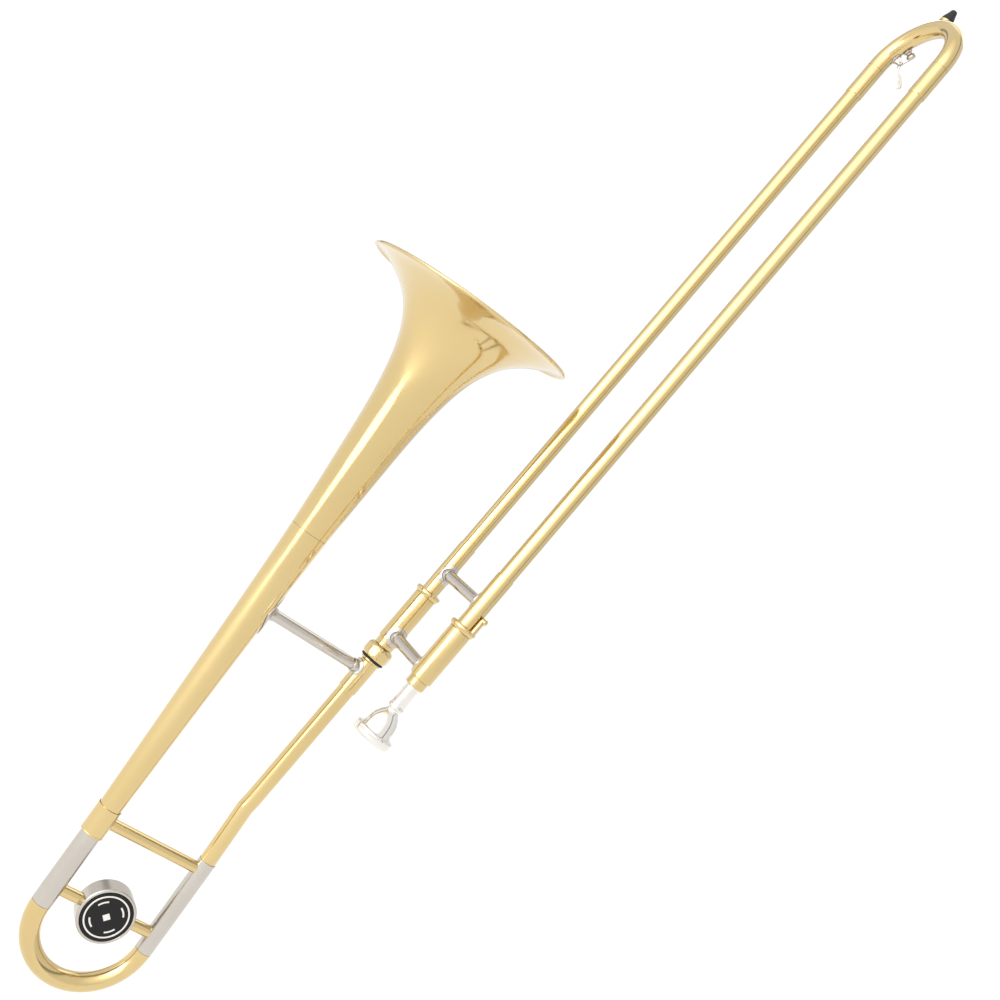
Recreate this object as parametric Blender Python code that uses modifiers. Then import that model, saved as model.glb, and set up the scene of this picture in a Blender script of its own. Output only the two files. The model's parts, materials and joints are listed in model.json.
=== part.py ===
"""Tenor trombone, slide pointing up: metres, +Z along the slide, origin in the middle of the hand brace.

The slide tubes stand in the plane X = 0, the bell side tube at +Y and the mouthpiece side tube at -Y.
The bell section hangs from the bell side tube, in a plane square to the slide, with the bell towards -X.
"""

import math

import bmesh
import bpy
from mathutils import Matrix, Vector

MM = 0.001
GAP = 0.3 * MM  # between pieces that touch or are soldered together

# Driving dimensions.
SLIDE_SPACING = 86 * MM
LEG_SPACING = 107 * MM  # bell axis to gooseneck, also the two legs of the tuning slide
NECK_BEND = math.radians(5.15)  # the bell section leans away from the slide by this
BELL_DIAMETER = 200 * MM
RING_HEIGHT = 47.5 * MM  # barrel rings above the hand brace

BELL_Y = SLIDE_SPACING / 2
MOUTH_Y = -SLIDE_SPACING / 2

# Slide tubes: radius outside, and wall.
BORE_RADIUS = 6.3 * MM
INNER_RADIUS = 6.6 * MM
STOCKING_RADIUS = 6.8 * MM
OUTER_INSIDE = 7.1 * MM
OUTER_RADIUS = 7.45 * MM
SLEEVE_RADIUS = 8.0 * MM
BARREL_RADIUS = 10.5 * MM
BARREL_INSIDE = 9.2 * MM
PLUG_RADIUS = 8.9 * MM
RING_RADIUS = 12.5 * MM
RING_HALF_HEIGHT = 2.9 * MM
RING_EDGE = 2.2 * MM  # rounding of the ring
BOW_RADIUS = 8.1 * MM
BOW_WALL = 0.6 * MM

# Heights above the barrel rings.
BARREL_BOTTOM = -55 * MM
PLUG_TOP = -42 * MM
CORK_LENGTH = 8 * MM
OUTER_BOTTOM = PLUG_TOP + CORK_LENGTH + 2 * GAP
SLEEVE_TOP = 56 * MM
OUTER_BRACE_HEIGHT = 24.8 * MM
STOCKING_BOTTOM = 480 * MM
INNER_TOP = 600 * MM
FERRULE_BOTTOM = 596 * MM
OUTER_TOP = 628 * MM
BOW_CENTRE = 632 * MM
NUT_BOTTOM = -76 * MM
TENON_TOP = -57.7 * MM
NECK_TOP = -100 * MM
BEND_HEIGHT = -243.3 * MM

# Turned outlines, as (radius, height above the barrel rings) in millimetres.
SOCKET_OUTLINE = ((8.9, -42), (8.9, -63), (7.9, -64), (6.6, -64), (6.1, -42))
LEADPIPE_OUTLINE = ((5.95, 160), (5.95, -41.7), (5.3, -41.7), (5.6, 160))
COLLAR_OUTLINE = ((8.9, -42), (8.9, -55.3), (9.25, -55.3), (9.25, -61.7), (6.9, -61.7), (6.9, -42))
TENON_OUTLINE = (
    (6.6, -57.7), (6.6, -64), (9.0, -64), (9.0, -65.4), (7.5, -65.4), (6.9, -98), (6.2, -98), (5.9, -57.7),
)
NUT_OUTLINE = (
    (9.9, -62), (11.8, -63.6), (12.9, -66.2), (12.9, -71.4), (12.2, -74.4), (11.0, -76),
    (9.6, -76), (9.6, -63.7), (7.2, -63.7), (7.2, -62),
)
RECEIVER_OUTLINE = (
    (9.2, -66), (9.2, -77.8), (10.3, -77.8), (10.3, -79.5), (8.9, -80.5),
    (8.9, -111.7), (8.25, -111.7), (8.25, -98), (7.9, -66),
)
MOUTHPIECE_SHANK = (
    (5.75, -44), (6.25, -64), (6.5, -84.5), (7.3, -86), (7.3, -87.6), (5.9, -89.2), (6.4, -91.5),
    (9.2, -95), (11.8, -99.5), (13.2, -105), (13.7, -110), (14.2, -112),
)
MOUTHPIECE_RIM = (
    (17.2, -112.4), (18.1, -113.4), (18.1, -118.6), (17.4, -120.2), (16.0, -121), (14.4, -120.9),
    (13.1, -119.8), (12.6, -118),
)
MOUTHPIECE_CUP = (
    (12.2, -113), (11.0, -106.5), (8.6, -100.5), (5.4, -96.3), (3.3, -93), (3.2, -88), (3.6, -75), (4.9, -44),
)
NUT_FLATS = 12.35 * MM  # from the axis to a flat of the nut
GASKET_OUTER = 11.6 * MM
GASKET_INNER = 9.5 * MM

# Bell section: distances along its legs from the bend of the gooseneck.
BEND_RADIUS = 150 * MM
NECK_RADIUS = 7.95 * MM
NECK_WALL = 0.5 * MM
RECEIVER_RADIUS = 8.9 * MM
LEG_TOP = -65 * MM
LEG_BOTTOM = -163 * MM
NECK_LEG_RADIUS = 8.4 * MM
BELL_LEG_RADIUS = 9.6 * MM
LEG_WALL = 0.4 * MM
FERRULE_RADIUS = 11.25 * MM
FERRULE_INSIDE = 10.85 * MM
FERRULE_TOP = -62 * MM
BELL_FERRULE_BOTTOM = -89.5 * MM
TAIL_BOTTOM = -74 * MM
UPPER_BRACE = -75 * MM
LOWER_BRACE = -146 * MM
BELL_BRACE = 153 * MM
INNER_LEG_TOP = -80 * MM
BELL_WALL = 0.8 * MM
BELL_TAPER = math.radians(1.35)  # slope of the tail under the bell brace
BRACED_BELL_RADIUS = 15.3 * MM
RIM_HEIGHT = 464.7 * MM
BEAD_RADIUS = 1.6 * MM

# Outer radius of the bell at distances from the bend, both in millimetres.
BELL_TAIL_OUTLINE = ((-74, 10.2), (60, 13.0), (150, 15.1), (200, 16.5), (229.8, 17.7))
BELL_FLARE_OUTLINE = (
    (230.1, 17.7),
    (265, 19.7),
    (300, 22.0),
    (340, 24.8),
    (370, 28.2),
    (398, 33.4),
    (420, 40.8),
    (438, 51.5),
    (450, 64.5),
    (457.5, 77.0),
    (462, 87.4),
    (464.4, 96.6),
)

# Braces.
HAND_BRACE_RADIUS = 5.5 * MM
OUTER_BRACE_RADIUS = 5.25 * MM
BELL_BRACE_RADIUS = 5.3 * MM
LEG_BRACE_RADIUS = 5.5 * MM
BRACE_WALL = 0.8 * MM
FLANGE_PLATE = 1.0 * MM
BOSS_LENGTH = 4 * MM
BOSS_RIM = 1.0 * MM
HAND_FLANGE_REACH = 8.5 * MM
OUTER_FLANGE_REACH = 9 * MM
NECK_FLANGE_REACH = 7.5 * MM
DIAMOND_REACH = 23 * MM
DIAMOND_STRETCH = 0.5

# Counterweight.
DRUM_RADIUS = 26.4 * MM
DRUM_FRONT = 11 * MM
DRUM_BACK = 9 * MM
CAP_RADIUS = 23.3 * MM
CAP_DEPTH = 2.2 * MM
INLAY_OUTER = 20.4 * MM
INLAY_INNER = 18.8 * MM
INLAY_HEIGHT = 0.5 * MM

# Water key, on the bell side of the slide bow.
NIPPLE_ANGLE = math.radians(39)  # round the bow from its straight end
SADDLE_ANGLE = math.radians(22)
KEY_TURN = math.radians(35)  # from +X towards the inside of the bow
NIPPLE_RADIUS = 3.0 * MM
NIPPLE_BORE = 1.6 * MM
NIPPLE_TOP = 11.6 * MM  # above the centre line of the bow
PAD_RADIUS = 3.6 * MM
PAD_HEIGHT = 1.8 * MM
CUP_HEIGHT = 2.2 * MM
CUP_RADIUS = 4.2 * MM
PIN_HEIGHT = 12.6 * MM
PIN_RADIUS = 0.8 * MM
PIN_LENGTH = 10.6 * MM
KEY_SEAT = BOW_RADIUS + 0.8 * MM  # the bow curves away under the straight feet of the key
SADDLE_PLATE = 1.0 * MM
POST_SPACING = 8.0 * MM
POST_THICKNESS = 1.0 * MM
KEY_BARREL_RADIUS = 1.9 * MM
KEY_BARREL_HALF = 1.7 * MM
SPRING_WIRE = 0.25 * MM
SPRING_RADIUS = 1.5 * MM
SPRING_TURNS = 2
SPRING_STEPS = 10  # points in a turn
LEVER_WIDTH = 3.4 * MM
LEVER_THICKNESS = 1.5 * MM
PADDLE_WIDTH = 5.6 * MM

# Slide lock, round the mouthpiece side tube.
LOCK_ANGLE = math.radians(-60)
HOOK_REACH = math.radians(41)
LUG_OFFSET = math.radians(56)
LOCK_ARM_RADIUS = 10.6 * MM
LOCK_ARM_TOP = 18 * MM
LOCK_ARM_WIDTH = 5.6 * MM
LOCK_ARM_THICKNESS = 2.4 * MM
HOOK_HEIGHT = 3.2 * MM
HOOK_THICKNESS = 2.2 * MM
KNOB_RADIUS = 2.9 * MM
LUG_RADIUS = 2.0 * MM
LUG_HEIGHT = 11.6 * MM
LUG_LENGTH = 3.1 * MM

# Bumper on the slide bow.
BUMPER_BASE = 5.7 * MM
BUMPER_TIP = 2.8 * MM
BUMPER_HEIGHT = 11.5 * MM
BUMPER_SOCKET = 6.2 * MM
SOCKET_DROP = 2.2 * MM
SOCKET_RISE = 1.2 * MM

# Facets round each shape.
ROUND = 20
BELL_ROUND = 40
DRUM_ROUND = 32
CUP_ROUND = 24
SMALL_ROUND = 16
BOW_SIDES = 6  # bevel resolution of a bent tube
TUNING_BOW_STEPS = 14
SLIDE_BOW_STEPS = 12
NECK_BEND_STEPS = 6
BEAD_SIDES = 8
BALL_RINGS = 8
CORNER_STEPS = 3
NUT_SIDES = 8
SHARP_EDGE = math.radians(35)

UP = Vector((0, 0, 1))


def clear_scene():
    for thing in list(bpy.data.objects):
        bpy.data.objects.remove(thing, do_unlink=True)


def new_collection(name, hidden=False):
    collection = bpy.data.collections.new(name)
    collection.hide_render = hidden
    bpy.context.scene.collection.children.link(collection)
    return collection


clear_scene()
PARTS = new_collection("trombone")
CUTTERS = new_collection("cutters", hidden=True)


def material(name, colour, roughness, metallic):
    made = bpy.data.materials.new(name)
    made.use_nodes = True
    shader = made.node_tree.nodes["Principled BSDF"]
    shader.inputs["Base Color"].default_value = (*colour, 1)
    shader.inputs["Roughness"].default_value = roughness
    shader.inputs["Metallic"].default_value = metallic
    made.diffuse_color = (*colour, 1)
    return made


BRASS = material("lacquered_brass", (0.78, 0.52, 0.20), 0.18, 1.0)
NICKEL = material("nickel_silver", (0.62, 0.60, 0.56), 0.22, 1.0)
SILVER = material("silver_plate", (0.83, 0.82, 0.80), 0.12, 1.0)
CHROME = material("hard_chrome", (0.70, 0.71, 0.73), 0.08, 1.0)
RUBBER = material("black_rubber", (0.02, 0.02, 0.022), 0.75, 0.0)
BLACK = material("black_plastic", (0.012, 0.012, 0.014), 0.25, 0.0)
CORK = material("cork", (0.45, 0.29, 0.16), 0.9, 0.0)
STEEL = material("spring_steel", (0.45, 0.45, 0.46), 0.3, 1.0)


def add_empty(name, place, parent=None):
    empty = bpy.data.objects.new(name, None)
    empty.empty_display_size = 0.02
    PARTS.objects.link(empty)
    empty.parent = parent
    empty.matrix_basis = place
    return empty


def add_mesh(name, mesh, look, parent=None, place=None):
    """An object in the parts collection, or in the cutters collection when it has no material."""
    thing = bpy.data.objects.new(name, mesh)
    if look is None:
        CUTTERS.objects.link(thing)
        thing.hide_render = True
        thing.display_type = "WIRE"
    else:
        PARTS.objects.link(thing)
        mesh.materials.clear()
        mesh.materials.append(look)
    thing.parent = parent
    thing.matrix_basis = Matrix() if place is None else place
    return thing


def at(x, y, z):
    return Matrix.Translation((x, y, z))


def facing(point, direction, side=None):
    """A place at a point whose +Z looks along direction and whose +X looks towards side."""
    z = Vector(direction).normalized()
    x = Vector(side) if side is not None else z.orthogonal()
    x = (x - z * x.dot(z)).normalized()
    turn = Matrix((x, z.cross(x), z)).transposed()
    return Matrix.Translation(point) @ turn.to_4x4()


def turned(name, outline, look, parent=None, place=None, steps=ROUND, closed=True):
    """A turned solid: outline points are (radius, height), down the outside and up the inside."""
    mesh = bpy.data.meshes.new(name)
    points = [(radius, 0, height) for radius, height in outline]
    edges = [(i, i + 1) for i in range(len(points) - 1)]
    if closed:
        edges.append((len(points) - 1, 0))
    mesh.from_pydata(points, edges, [])
    thing = add_mesh(name, mesh, look, parent, place)
    screw = thing.modifiers.new("turn", "SCREW")
    screw.angle = 2 * math.pi
    screw.steps = screw.render_steps = steps
    screw.use_merge_vertices = True
    screw.merge_threshold = 1e-6
    return thing


def in_mm(outline):
    return [(radius * MM, height * MM) for radius, height in outline]


def tube(name, outside, inside, bottom, top, look, parent=None, place=None, steps=ROUND):
    outline = ((outside, top), (outside, bottom), (inside, bottom), (inside, top))
    return turned(name, outline, look, parent, place, steps)


def rod(name, radius, bottom, top, look, parent=None, place=None, steps=ROUND):
    outline = ((0, top), (radius, top), (radius, bottom), (0, bottom))
    return turned(name, outline, look, parent, place, steps, closed=False)


def prism(name, sides, radius, bottom, top, look, parent=None, place=None, stretch=1.0):
    """A straight prism along Z, with a corner on X and its Y side scaled by stretch."""
    work = bmesh.new()
    bmesh.ops.create_cone(
        work, cap_ends=True, segments=sides, radius1=radius, radius2=radius, depth=top - bottom
    )
    bmesh.ops.rotate(work, verts=work.verts, matrix=Matrix.Rotation(math.pi / 2, 3, "Z"))
    bmesh.ops.scale(work, verts=work.verts, vec=(1, stretch, 1))
    bmesh.ops.translate(work, verts=work.verts, vec=(0, 0, (top + bottom) / 2))
    mesh = bpy.data.meshes.new(name)
    work.to_mesh(mesh)
    work.free()
    return add_mesh(name, mesh, look, parent, place)


def box(name, size, look, parent=None, place=None):
    work = bmesh.new()
    bmesh.ops.create_cube(work, size=1)
    bmesh.ops.scale(work, verts=work.verts, vec=size)
    mesh = bpy.data.meshes.new(name)
    work.to_mesh(mesh)
    work.free()
    return add_mesh(name, mesh, look, parent, place)


def ball(name, radius, look, parent=None, place=None):
    work = bmesh.new()
    bmesh.ops.create_uvsphere(work, u_segments=SMALL_ROUND, v_segments=BALL_RINGS, radius=radius)
    mesh = bpy.data.meshes.new(name)
    work.to_mesh(mesh)
    work.free()
    return add_mesh(name, mesh, look, parent, place)


def combine(thing, other, operation):
    step = thing.modifiers.new(operation.lower(), "BOOLEAN")
    step.operation = operation
    step.solver = "EXACT"
    step.object = other


def bent_tube(name, route, radii, wall, look, parent=None, sides=BOW_SIDES):
    """A hollow tube along route, radii giving its outer radius at each point."""
    curve = bpy.data.curves.new(name, "CURVE")
    curve.dimensions = "3D"
    curve.bevel_depth = radii[0]
    curve.bevel_resolution = sides
    spline = curve.splines.new("POLY")
    spline.points.add(len(route) - 1)
    for point, place, radius in zip(spline.points, route, radii):
        point.co = (*place, 1)
        point.radius = radius / radii[0]
    guide = bpy.data.objects.new(name + "_guide", curve)
    CUTTERS.objects.link(guide)
    graph = bpy.context.evaluated_depsgraph_get()
    mesh = bpy.data.meshes.new_from_object(guide.evaluated_get(graph))
    bpy.data.objects.remove(guide)
    mesh.name = name
    work = bmesh.new()
    work.from_mesh(mesh)
    bmesh.ops.remove_doubles(work, verts=work.verts, dist=1e-6)
    bmesh.ops.recalc_face_normals(work, faces=work.faces)
    work.to_mesh(mesh)
    work.free()
    thing = add_mesh(name, mesh, look, parent)
    shell = thing.modifiers.new("wall", "SOLIDIFY")
    shell.thickness = wall
    shell.offset = -1
    return thing


def arc(centre, from_side, to_side, radius, steps, end=math.pi):
    """Points of an arc that starts towards from_side and turns towards to_side."""
    angles = [end * i / steps for i in range(steps + 1)]
    return [centre + radius * (math.cos(a) * from_side + math.sin(a) * to_side) for a in angles]


def round_ring(radius, inside, bottom, top, edge):
    """Outline of a ring whose outer corners are rounded by edge."""
    turns = [math.pi / 2 * i / CORNER_STEPS for i in range(CORNER_STEPS + 1)]
    middle = radius - edge
    corners = [(middle + edge * math.sin(turn), top - edge + edge * math.cos(turn)) for turn in turns]
    corners += [(middle + edge * math.cos(turn), bottom + edge - edge * math.sin(turn)) for turn in turns]
    return (*corners, (inside, bottom), (inside, top))


def flange(name, tube_place, tube_radius, brace_place, brace_radius, look, reach, sides=ROUND, stretch=1.0):
    """A saddle plate bent round a tube, with a boss that takes the end of a brace.

    tube_place and brace_place have their origins on the tube's centre line, with +Z along the tube and
    along the brace. reach is half the height of the plate, measured along the tube.
    """
    plate = tube_radius + GAP + FLANGE_PLATE
    thing = rod(name, plate, -2 * reach, 2 * reach, look, None, tube_place)
    outline = prism(name + "_outline", sides, reach, 0, 2 * plate, None, None, brace_place, stretch)
    boss_radius = brace_radius + BOSS_RIM
    boss_top = tube_radius + BOSS_LENGTH
    boss = rod(name + "_boss", boss_radius, tube_radius / 2, boss_top, None, None, brace_place)
    inside = rod(name + "_seat", tube_radius + GAP, -3 * reach, 3 * reach, None, None, tube_place)
    combine(thing, outline, "INTERSECT")
    combine(thing, boss, "UNION")
    combine(thing, inside, "DIFFERENCE")
    return thing


def brace_between(name, start, end, radius, start_radius, end_radius, look):
    """A hollow brace between the bosses of two flanges on tubes of these radii."""
    span = (end - start).length
    bottom = start_radius + BOSS_LENGTH + GAP
    top = span - end_radius - BOSS_LENGTH - GAP
    return tube(name, radius, radius - BRACE_WALL, bottom, top, look, None, facing(start, end - start))


def group(name, place, build):
    """Runs a builder, and hangs what it makes from an empty at place, on the group's joint axis."""
    before = set(PARTS.objects)
    build()
    made = sorted(set(PARTS.objects) - before, key=lambda thing: thing.name)
    empty = add_empty(name, place)
    for thing in made:
        world = thing.matrix_basis.copy()
        thing.parent = empty
        thing.matrix_basis = place.inverted() @ world


def height(above_ring):
    return RING_HEIGHT + above_ring


def inner_slide():
    """The half of the slide that stays still: barrels, plugs, corks, inner tubes and leadpipe."""
    bell_side = at(0, BELL_Y, RING_HEIGHT)
    mouth_side = at(0, MOUTH_Y, RING_HEIGHT)
    for side, place in (("bell_side", bell_side), ("mouth_side", mouth_side)):
        tube(f"cork_barrel_{side}", BARREL_RADIUS, BARREL_INSIDE, BARREL_BOTTOM, -RING_HALF_HEIGHT - GAP, BRASS,
             None, place)
        cork_bottom = PLUG_TOP + GAP
        tube(f"bumper_cork_{side}", PLUG_RADIUS, INNER_RADIUS + GAP, cork_bottom, cork_bottom + CORK_LENGTH, CORK,
             None, place)
        tube(f"slide_stocking_{side}", STOCKING_RADIUS, BORE_RADIUS, STOCKING_BOTTOM + GAP, INNER_TOP, CHROME,
             None, place)
    barrel_ring("barrel_ring", bell_side)
    tube("inner_slide_tube_bell_side", INNER_RADIUS, BORE_RADIUS, TENON_TOP + GAP, STOCKING_BOTTOM, CHROME,
         None, bell_side)
    tube("inner_slide_tube_mouth_side", INNER_RADIUS, BORE_RADIUS, PLUG_TOP + GAP, STOCKING_BOTTOM, CHROME,
         None, mouth_side)
    turned("tenon_collar", in_mm(COLLAR_OUTLINE), BRASS, None, bell_side)
    turned("slide_tenon", in_mm(TENON_OUTLINE), NICKEL, None, bell_side)
    turned("mouthpiece_receiver", in_mm(SOCKET_OUTLINE), BRASS, None, mouth_side)
    turned("leadpipe", in_mm(LEADPIPE_OUTLINE), BRASS, None, mouth_side)
    bell_end = Vector((0, BELL_Y, 0))
    mouth_end = Vector((0, MOUTH_Y, 0))
    across = mouth_end - bell_end
    flange("hand_brace_flange_bell_side", facing(bell_end, UP), BARREL_RADIUS, facing(bell_end, across, UP),
           HAND_BRACE_RADIUS, NICKEL, HAND_FLANGE_REACH)
    flange("hand_brace_flange_mouth_side", facing(mouth_end, UP), BARREL_RADIUS, facing(mouth_end, -across, UP),
           HAND_BRACE_RADIUS, NICKEL, HAND_FLANGE_REACH)
    brace_between("hand_brace", bell_end, mouth_end, HAND_BRACE_RADIUS, BARREL_RADIUS, BARREL_RADIUS, NICKEL)


def barrel_ring(name, place):
    """The rounded brass ring at the top of a cork barrel."""
    outline = round_ring(RING_RADIUS, SLEEVE_RADIUS + 2 * GAP, -RING_HALF_HEIGHT, RING_HALF_HEIGHT, RING_EDGE)
    return turned(name, outline, BRASS, None, place)


def outer_slide():
    """The half of the slide that the player moves, with its bow and bumper."""
    for side, y in (("bell_side", BELL_Y), ("mouth_side", MOUTH_Y)):
        place = at(0, y, RING_HEIGHT)
        tube(f"outer_slide_tube_{side}", OUTER_RADIUS, OUTER_INSIDE, OUTER_BOTTOM, OUTER_TOP, BRASS, None, place)
        sleeve_inside = OUTER_RADIUS + GAP
        tube(f"outer_slide_sleeve_{side}", SLEEVE_RADIUS, sleeve_inside, OUTER_BOTTOM, SLEEVE_TOP, BRASS,
             None, place)
        tube(f"bow_ferrule_{side}", SLEEVE_RADIUS, sleeve_inside, FERRULE_BOTTOM, OUTER_TOP, BRASS, None, place)
    level = height(OUTER_BRACE_HEIGHT)
    bell_end = Vector((0, BELL_Y, level))
    mouth_end = Vector((0, MOUTH_Y, level))
    across = mouth_end - bell_end
    flange("outer_brace_flange_bell_side", facing(bell_end, UP), SLEEVE_RADIUS, facing(bell_end, across, UP),
           OUTER_BRACE_RADIUS, NICKEL, OUTER_FLANGE_REACH)
    flange("outer_brace_flange_mouth_side", facing(mouth_end, UP), SLEEVE_RADIUS,
           facing(mouth_end, -across, UP), OUTER_BRACE_RADIUS, NICKEL, OUTER_FLANGE_REACH)
    brace_between("outer_brace", bell_end, mouth_end, OUTER_BRACE_RADIUS, SLEEVE_RADIUS, SLEEVE_RADIUS, NICKEL)
    centre = Vector((0, 0, height(BOW_CENTRE)))
    bell_foot = Vector((0, BELL_Y, height(OUTER_TOP) + GAP))
    mouth_foot = Vector((0, MOUTH_Y, height(OUTER_TOP) + GAP))
    turn = arc(centre, Vector((0, 1, 0)), UP, SLIDE_SPACING / 2, SLIDE_BOW_STEPS)
    route = [bell_foot, *turn, mouth_foot]
    bow = bent_tube("slide_bow", route, [BOW_RADIUS] * len(route), BOW_WALL, BRASS)
    combine(bow, nipple_hole(), "DIFFERENCE")
    bow_top = height(BOW_CENTRE) + SLIDE_SPACING / 2 + BOW_RADIUS
    socket = rod("bumper_socket", BUMPER_SOCKET, -SOCKET_DROP, SOCKET_RISE, BRASS, None, at(0, 0, bow_top))
    saddle = rod("bumper_socket_seat", BOW_RADIUS + GAP, -2 * BUMPER_SOCKET, 2 * BUMPER_SOCKET, None, None,
                 facing((0, 0, bow_top - BOW_RADIUS), (0, 1, 0)))
    combine(socket, saddle, "DIFFERENCE")
    base = bow_top + SOCKET_RISE + GAP
    turned(
        "slide_bumper",
        (
            (0, BUMPER_HEIGHT),
            (BUMPER_TIP - 0.8 * MM, BUMPER_HEIGHT),
            (BUMPER_TIP, BUMPER_HEIGHT - 0.8 * MM),
            (BUMPER_BASE, 1.5 * MM),
            (BUMPER_BASE, 0),
            (0, 0),
        ),
        RUBBER, None, at(0, 0, base), closed=False,
    )


def bow_frame(angle):
    """(centre of the bow's tube, its direction, the way out towards the water key) at an angle round the bow."""
    outwards = Vector((0, math.cos(angle), math.sin(angle)))
    centre = Vector((0, 0, height(BOW_CENTRE))) + outwards * SLIDE_SPACING / 2
    along = Vector((0, -math.sin(angle), math.cos(angle)))
    out = Vector((math.cos(KEY_TURN), 0, 0)) - outwards * math.sin(KEY_TURN)
    return centre, along, out


def nipple_hole():
    centre, _, out = bow_frame(NIPPLE_ANGLE)
    return rod("nipple_hole", NIPPLE_BORE, 0, NIPPLE_TOP, None, None, facing(centre, out), SMALL_ROUND)


def pin_point():
    centre, _, out = bow_frame(SADDLE_ANGLE)
    return centre + out * PIN_HEIGHT


def water_key():
    """Nipple, saddle, pin and spring on the bow, and the lever with its cork pad."""
    centre, along, out = bow_frame(NIPPLE_ANGLE)
    nipple_place = facing(centre, out, along)
    nipple = tube("water_key_nipple", NIPPLE_RADIUS, NIPPLE_BORE, BOW_RADIUS / 2, NIPPLE_TOP, NICKEL, None,
                  nipple_place, SMALL_ROUND)
    seat = rod("nipple_seat", KEY_SEAT, -12 * MM, 12 * MM, None, None, facing(centre, along))
    combine(nipple, seat, "DIFFERENCE")
    pad_bottom = NIPPLE_TOP + GAP
    pad_top = pad_bottom + PAD_HEIGHT
    rod("water_key_cork", PAD_RADIUS, pad_bottom, pad_top, CORK, None, nipple_place, SMALL_ROUND)

    foot, upwards, away = bow_frame(SADDLE_ANGLE)
    across = upwards.cross(away)
    pin = pin_point()
    saddle = rod("water_key_saddle", KEY_SEAT + SADDLE_PLATE, -5 * MM, 5 * MM, NICKEL, None,
                 facing(foot, upwards))
    trim = box("saddle_trim", (9 * MM, POST_SPACING + 2 * POST_THICKNESS, 2 * BOW_RADIUS), None, None,
               facing(foot + away * BOW_RADIUS, away, upwards))
    combine(saddle, trim, "INTERSECT")
    for i, sign in enumerate((-1, 1)):
        middle = foot + away * (PIN_HEIGHT / 2 + BOW_RADIUS / 2 + 1.2 * MM)
        middle += across * sign * (POST_SPACING + POST_THICKNESS) / 2
        tall = PIN_HEIGHT - BOW_RADIUS + 4.6 * MM
        post = box(f"saddle_post_{i}", (5.2 * MM, POST_THICKNESS, tall), None, None,
                   facing(middle, away, upwards))
        combine(saddle, post, "UNION")
    under = rod("saddle_seat", KEY_SEAT, -12 * MM, 12 * MM, None, None, facing(foot, upwards))
    combine(saddle, under, "DIFFERENCE")
    pin_hole = rod("saddle_pin_hole", PIN_RADIUS + GAP, -8 * MM, 8 * MM, None, None, facing(pin, across),
                   SMALL_ROUND)
    combine(saddle, pin_hole, "DIFFERENCE")
    rod("water_key_pin", PIN_RADIUS, -PIN_LENGTH / 2, PIN_LENGTH / 2, STEEL, None, facing(pin, across), SMALL_ROUND)

    hinge = facing(pin, across, upwards)
    key_spring(hinge)
    lever = tube("water_key_lever", KEY_BARREL_RADIUS, PIN_RADIUS + GAP, -KEY_BARREL_HALF, KEY_BARREL_HALF, NICKEL,
                 None, hinge, SMALL_ROUND)
    cup = rod("lever_cup", CUP_RADIUS, pad_top + GAP, pad_top + GAP + CUP_HEIGHT, None, None, nipple_place,
              SMALL_ROUND)
    cup_middle = centre + out * (pad_top + GAP + CUP_HEIGHT - LEVER_THICKNESS / 2)
    elbow = pin - upwards * 5.0 * MM + away * 3.6 * MM
    tip = pin - upwards * 13.7 * MM + away * 15.0 * MM
    paddle_start = elbow + (tip - elbow) * 0.3
    pieces = [cup]
    pieces.append(bar("lever_front", pin + away * 1.1 * MM, cup_middle, across, LEVER_WIDTH))
    pieces.append(bar("lever_back", pin + away * 0.6 * MM, elbow, across, LEVER_WIDTH))
    pieces.append(bar("lever_tail", elbow - (tip - elbow) * 0.1, elbow + (tip - elbow) * 0.4, across, LEVER_WIDTH))
    # The paddle is twisted a quarter turn from the lever.
    pieces.append(bar("lever_paddle", paddle_start, tip, across.cross(tip - elbow), PADDLE_WIDTH))
    pieces.append(rod("lever_paddle_end", PADDLE_WIDTH / 2, -LEVER_THICKNESS / 2, LEVER_THICKNESS / 2, None, None,
                      facing(tip, across), SMALL_ROUND))
    for piece in pieces:
        combine(lever, piece, "UNION")
    bore = rod("lever_bore", PIN_RADIUS + GAP, -8 * MM, 8 * MM, None, None, hinge, SMALL_ROUND)
    combine(lever, bore, "DIFFERENCE")


def key_spring(hinge):
    """The spring wound on the pin beside the lever: one foot on the saddle, the other under the lever's tail."""
    start = KEY_BARREL_HALF + GAP + SPRING_WIRE
    end = POST_SPACING / 2 - GAP - SPRING_WIRE
    steps = SPRING_TURNS * SPRING_STEPS
    coil = []
    for i in range(steps + 1):
        angle = -math.pi / 2 - 2 * math.pi * i / SPRING_STEPS
        across = Vector((SPRING_RADIUS * math.cos(angle), SPRING_RADIUS * math.sin(angle), 0))
        coil.append(across + UP * (start + (end - start) * i / steps))
    foot = coil[0] + Vector((3.2, -0.6, 0)) * MM
    elbow = Vector((-4.2 * MM, 1.2 * MM, end))
    head = elbow - UP * end
    wire("water_key_spring", [foot, *coil, elbow, head], SPRING_WIRE, STEEL, hinge)


def wire(name, route, radius, look, place):
    """A thin solid wire with closed ends."""
    curve = bpy.data.curves.new(name, "CURVE")
    curve.dimensions = "3D"
    curve.bevel_depth = radius
    curve.bevel_resolution = 1
    curve.use_fill_caps = True
    spline = curve.splines.new("POLY")
    spline.points.add(len(route) - 1)
    for point, spot in zip(spline.points, route):
        point.co = (*spot, 1)
    curve.materials.append(look)
    thing = bpy.data.objects.new(name, curve)
    PARTS.objects.link(thing)
    thing.matrix_basis = place


def bar(name, start, end, across, width):
    """A flat bar from start to end, as a cutter, whose width lies along across."""
    middle = (start + end) / 2
    return box(name, (width, LEVER_THICKNESS, (end - start).length), None, None,
               facing(middle, end - start, across))


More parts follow.
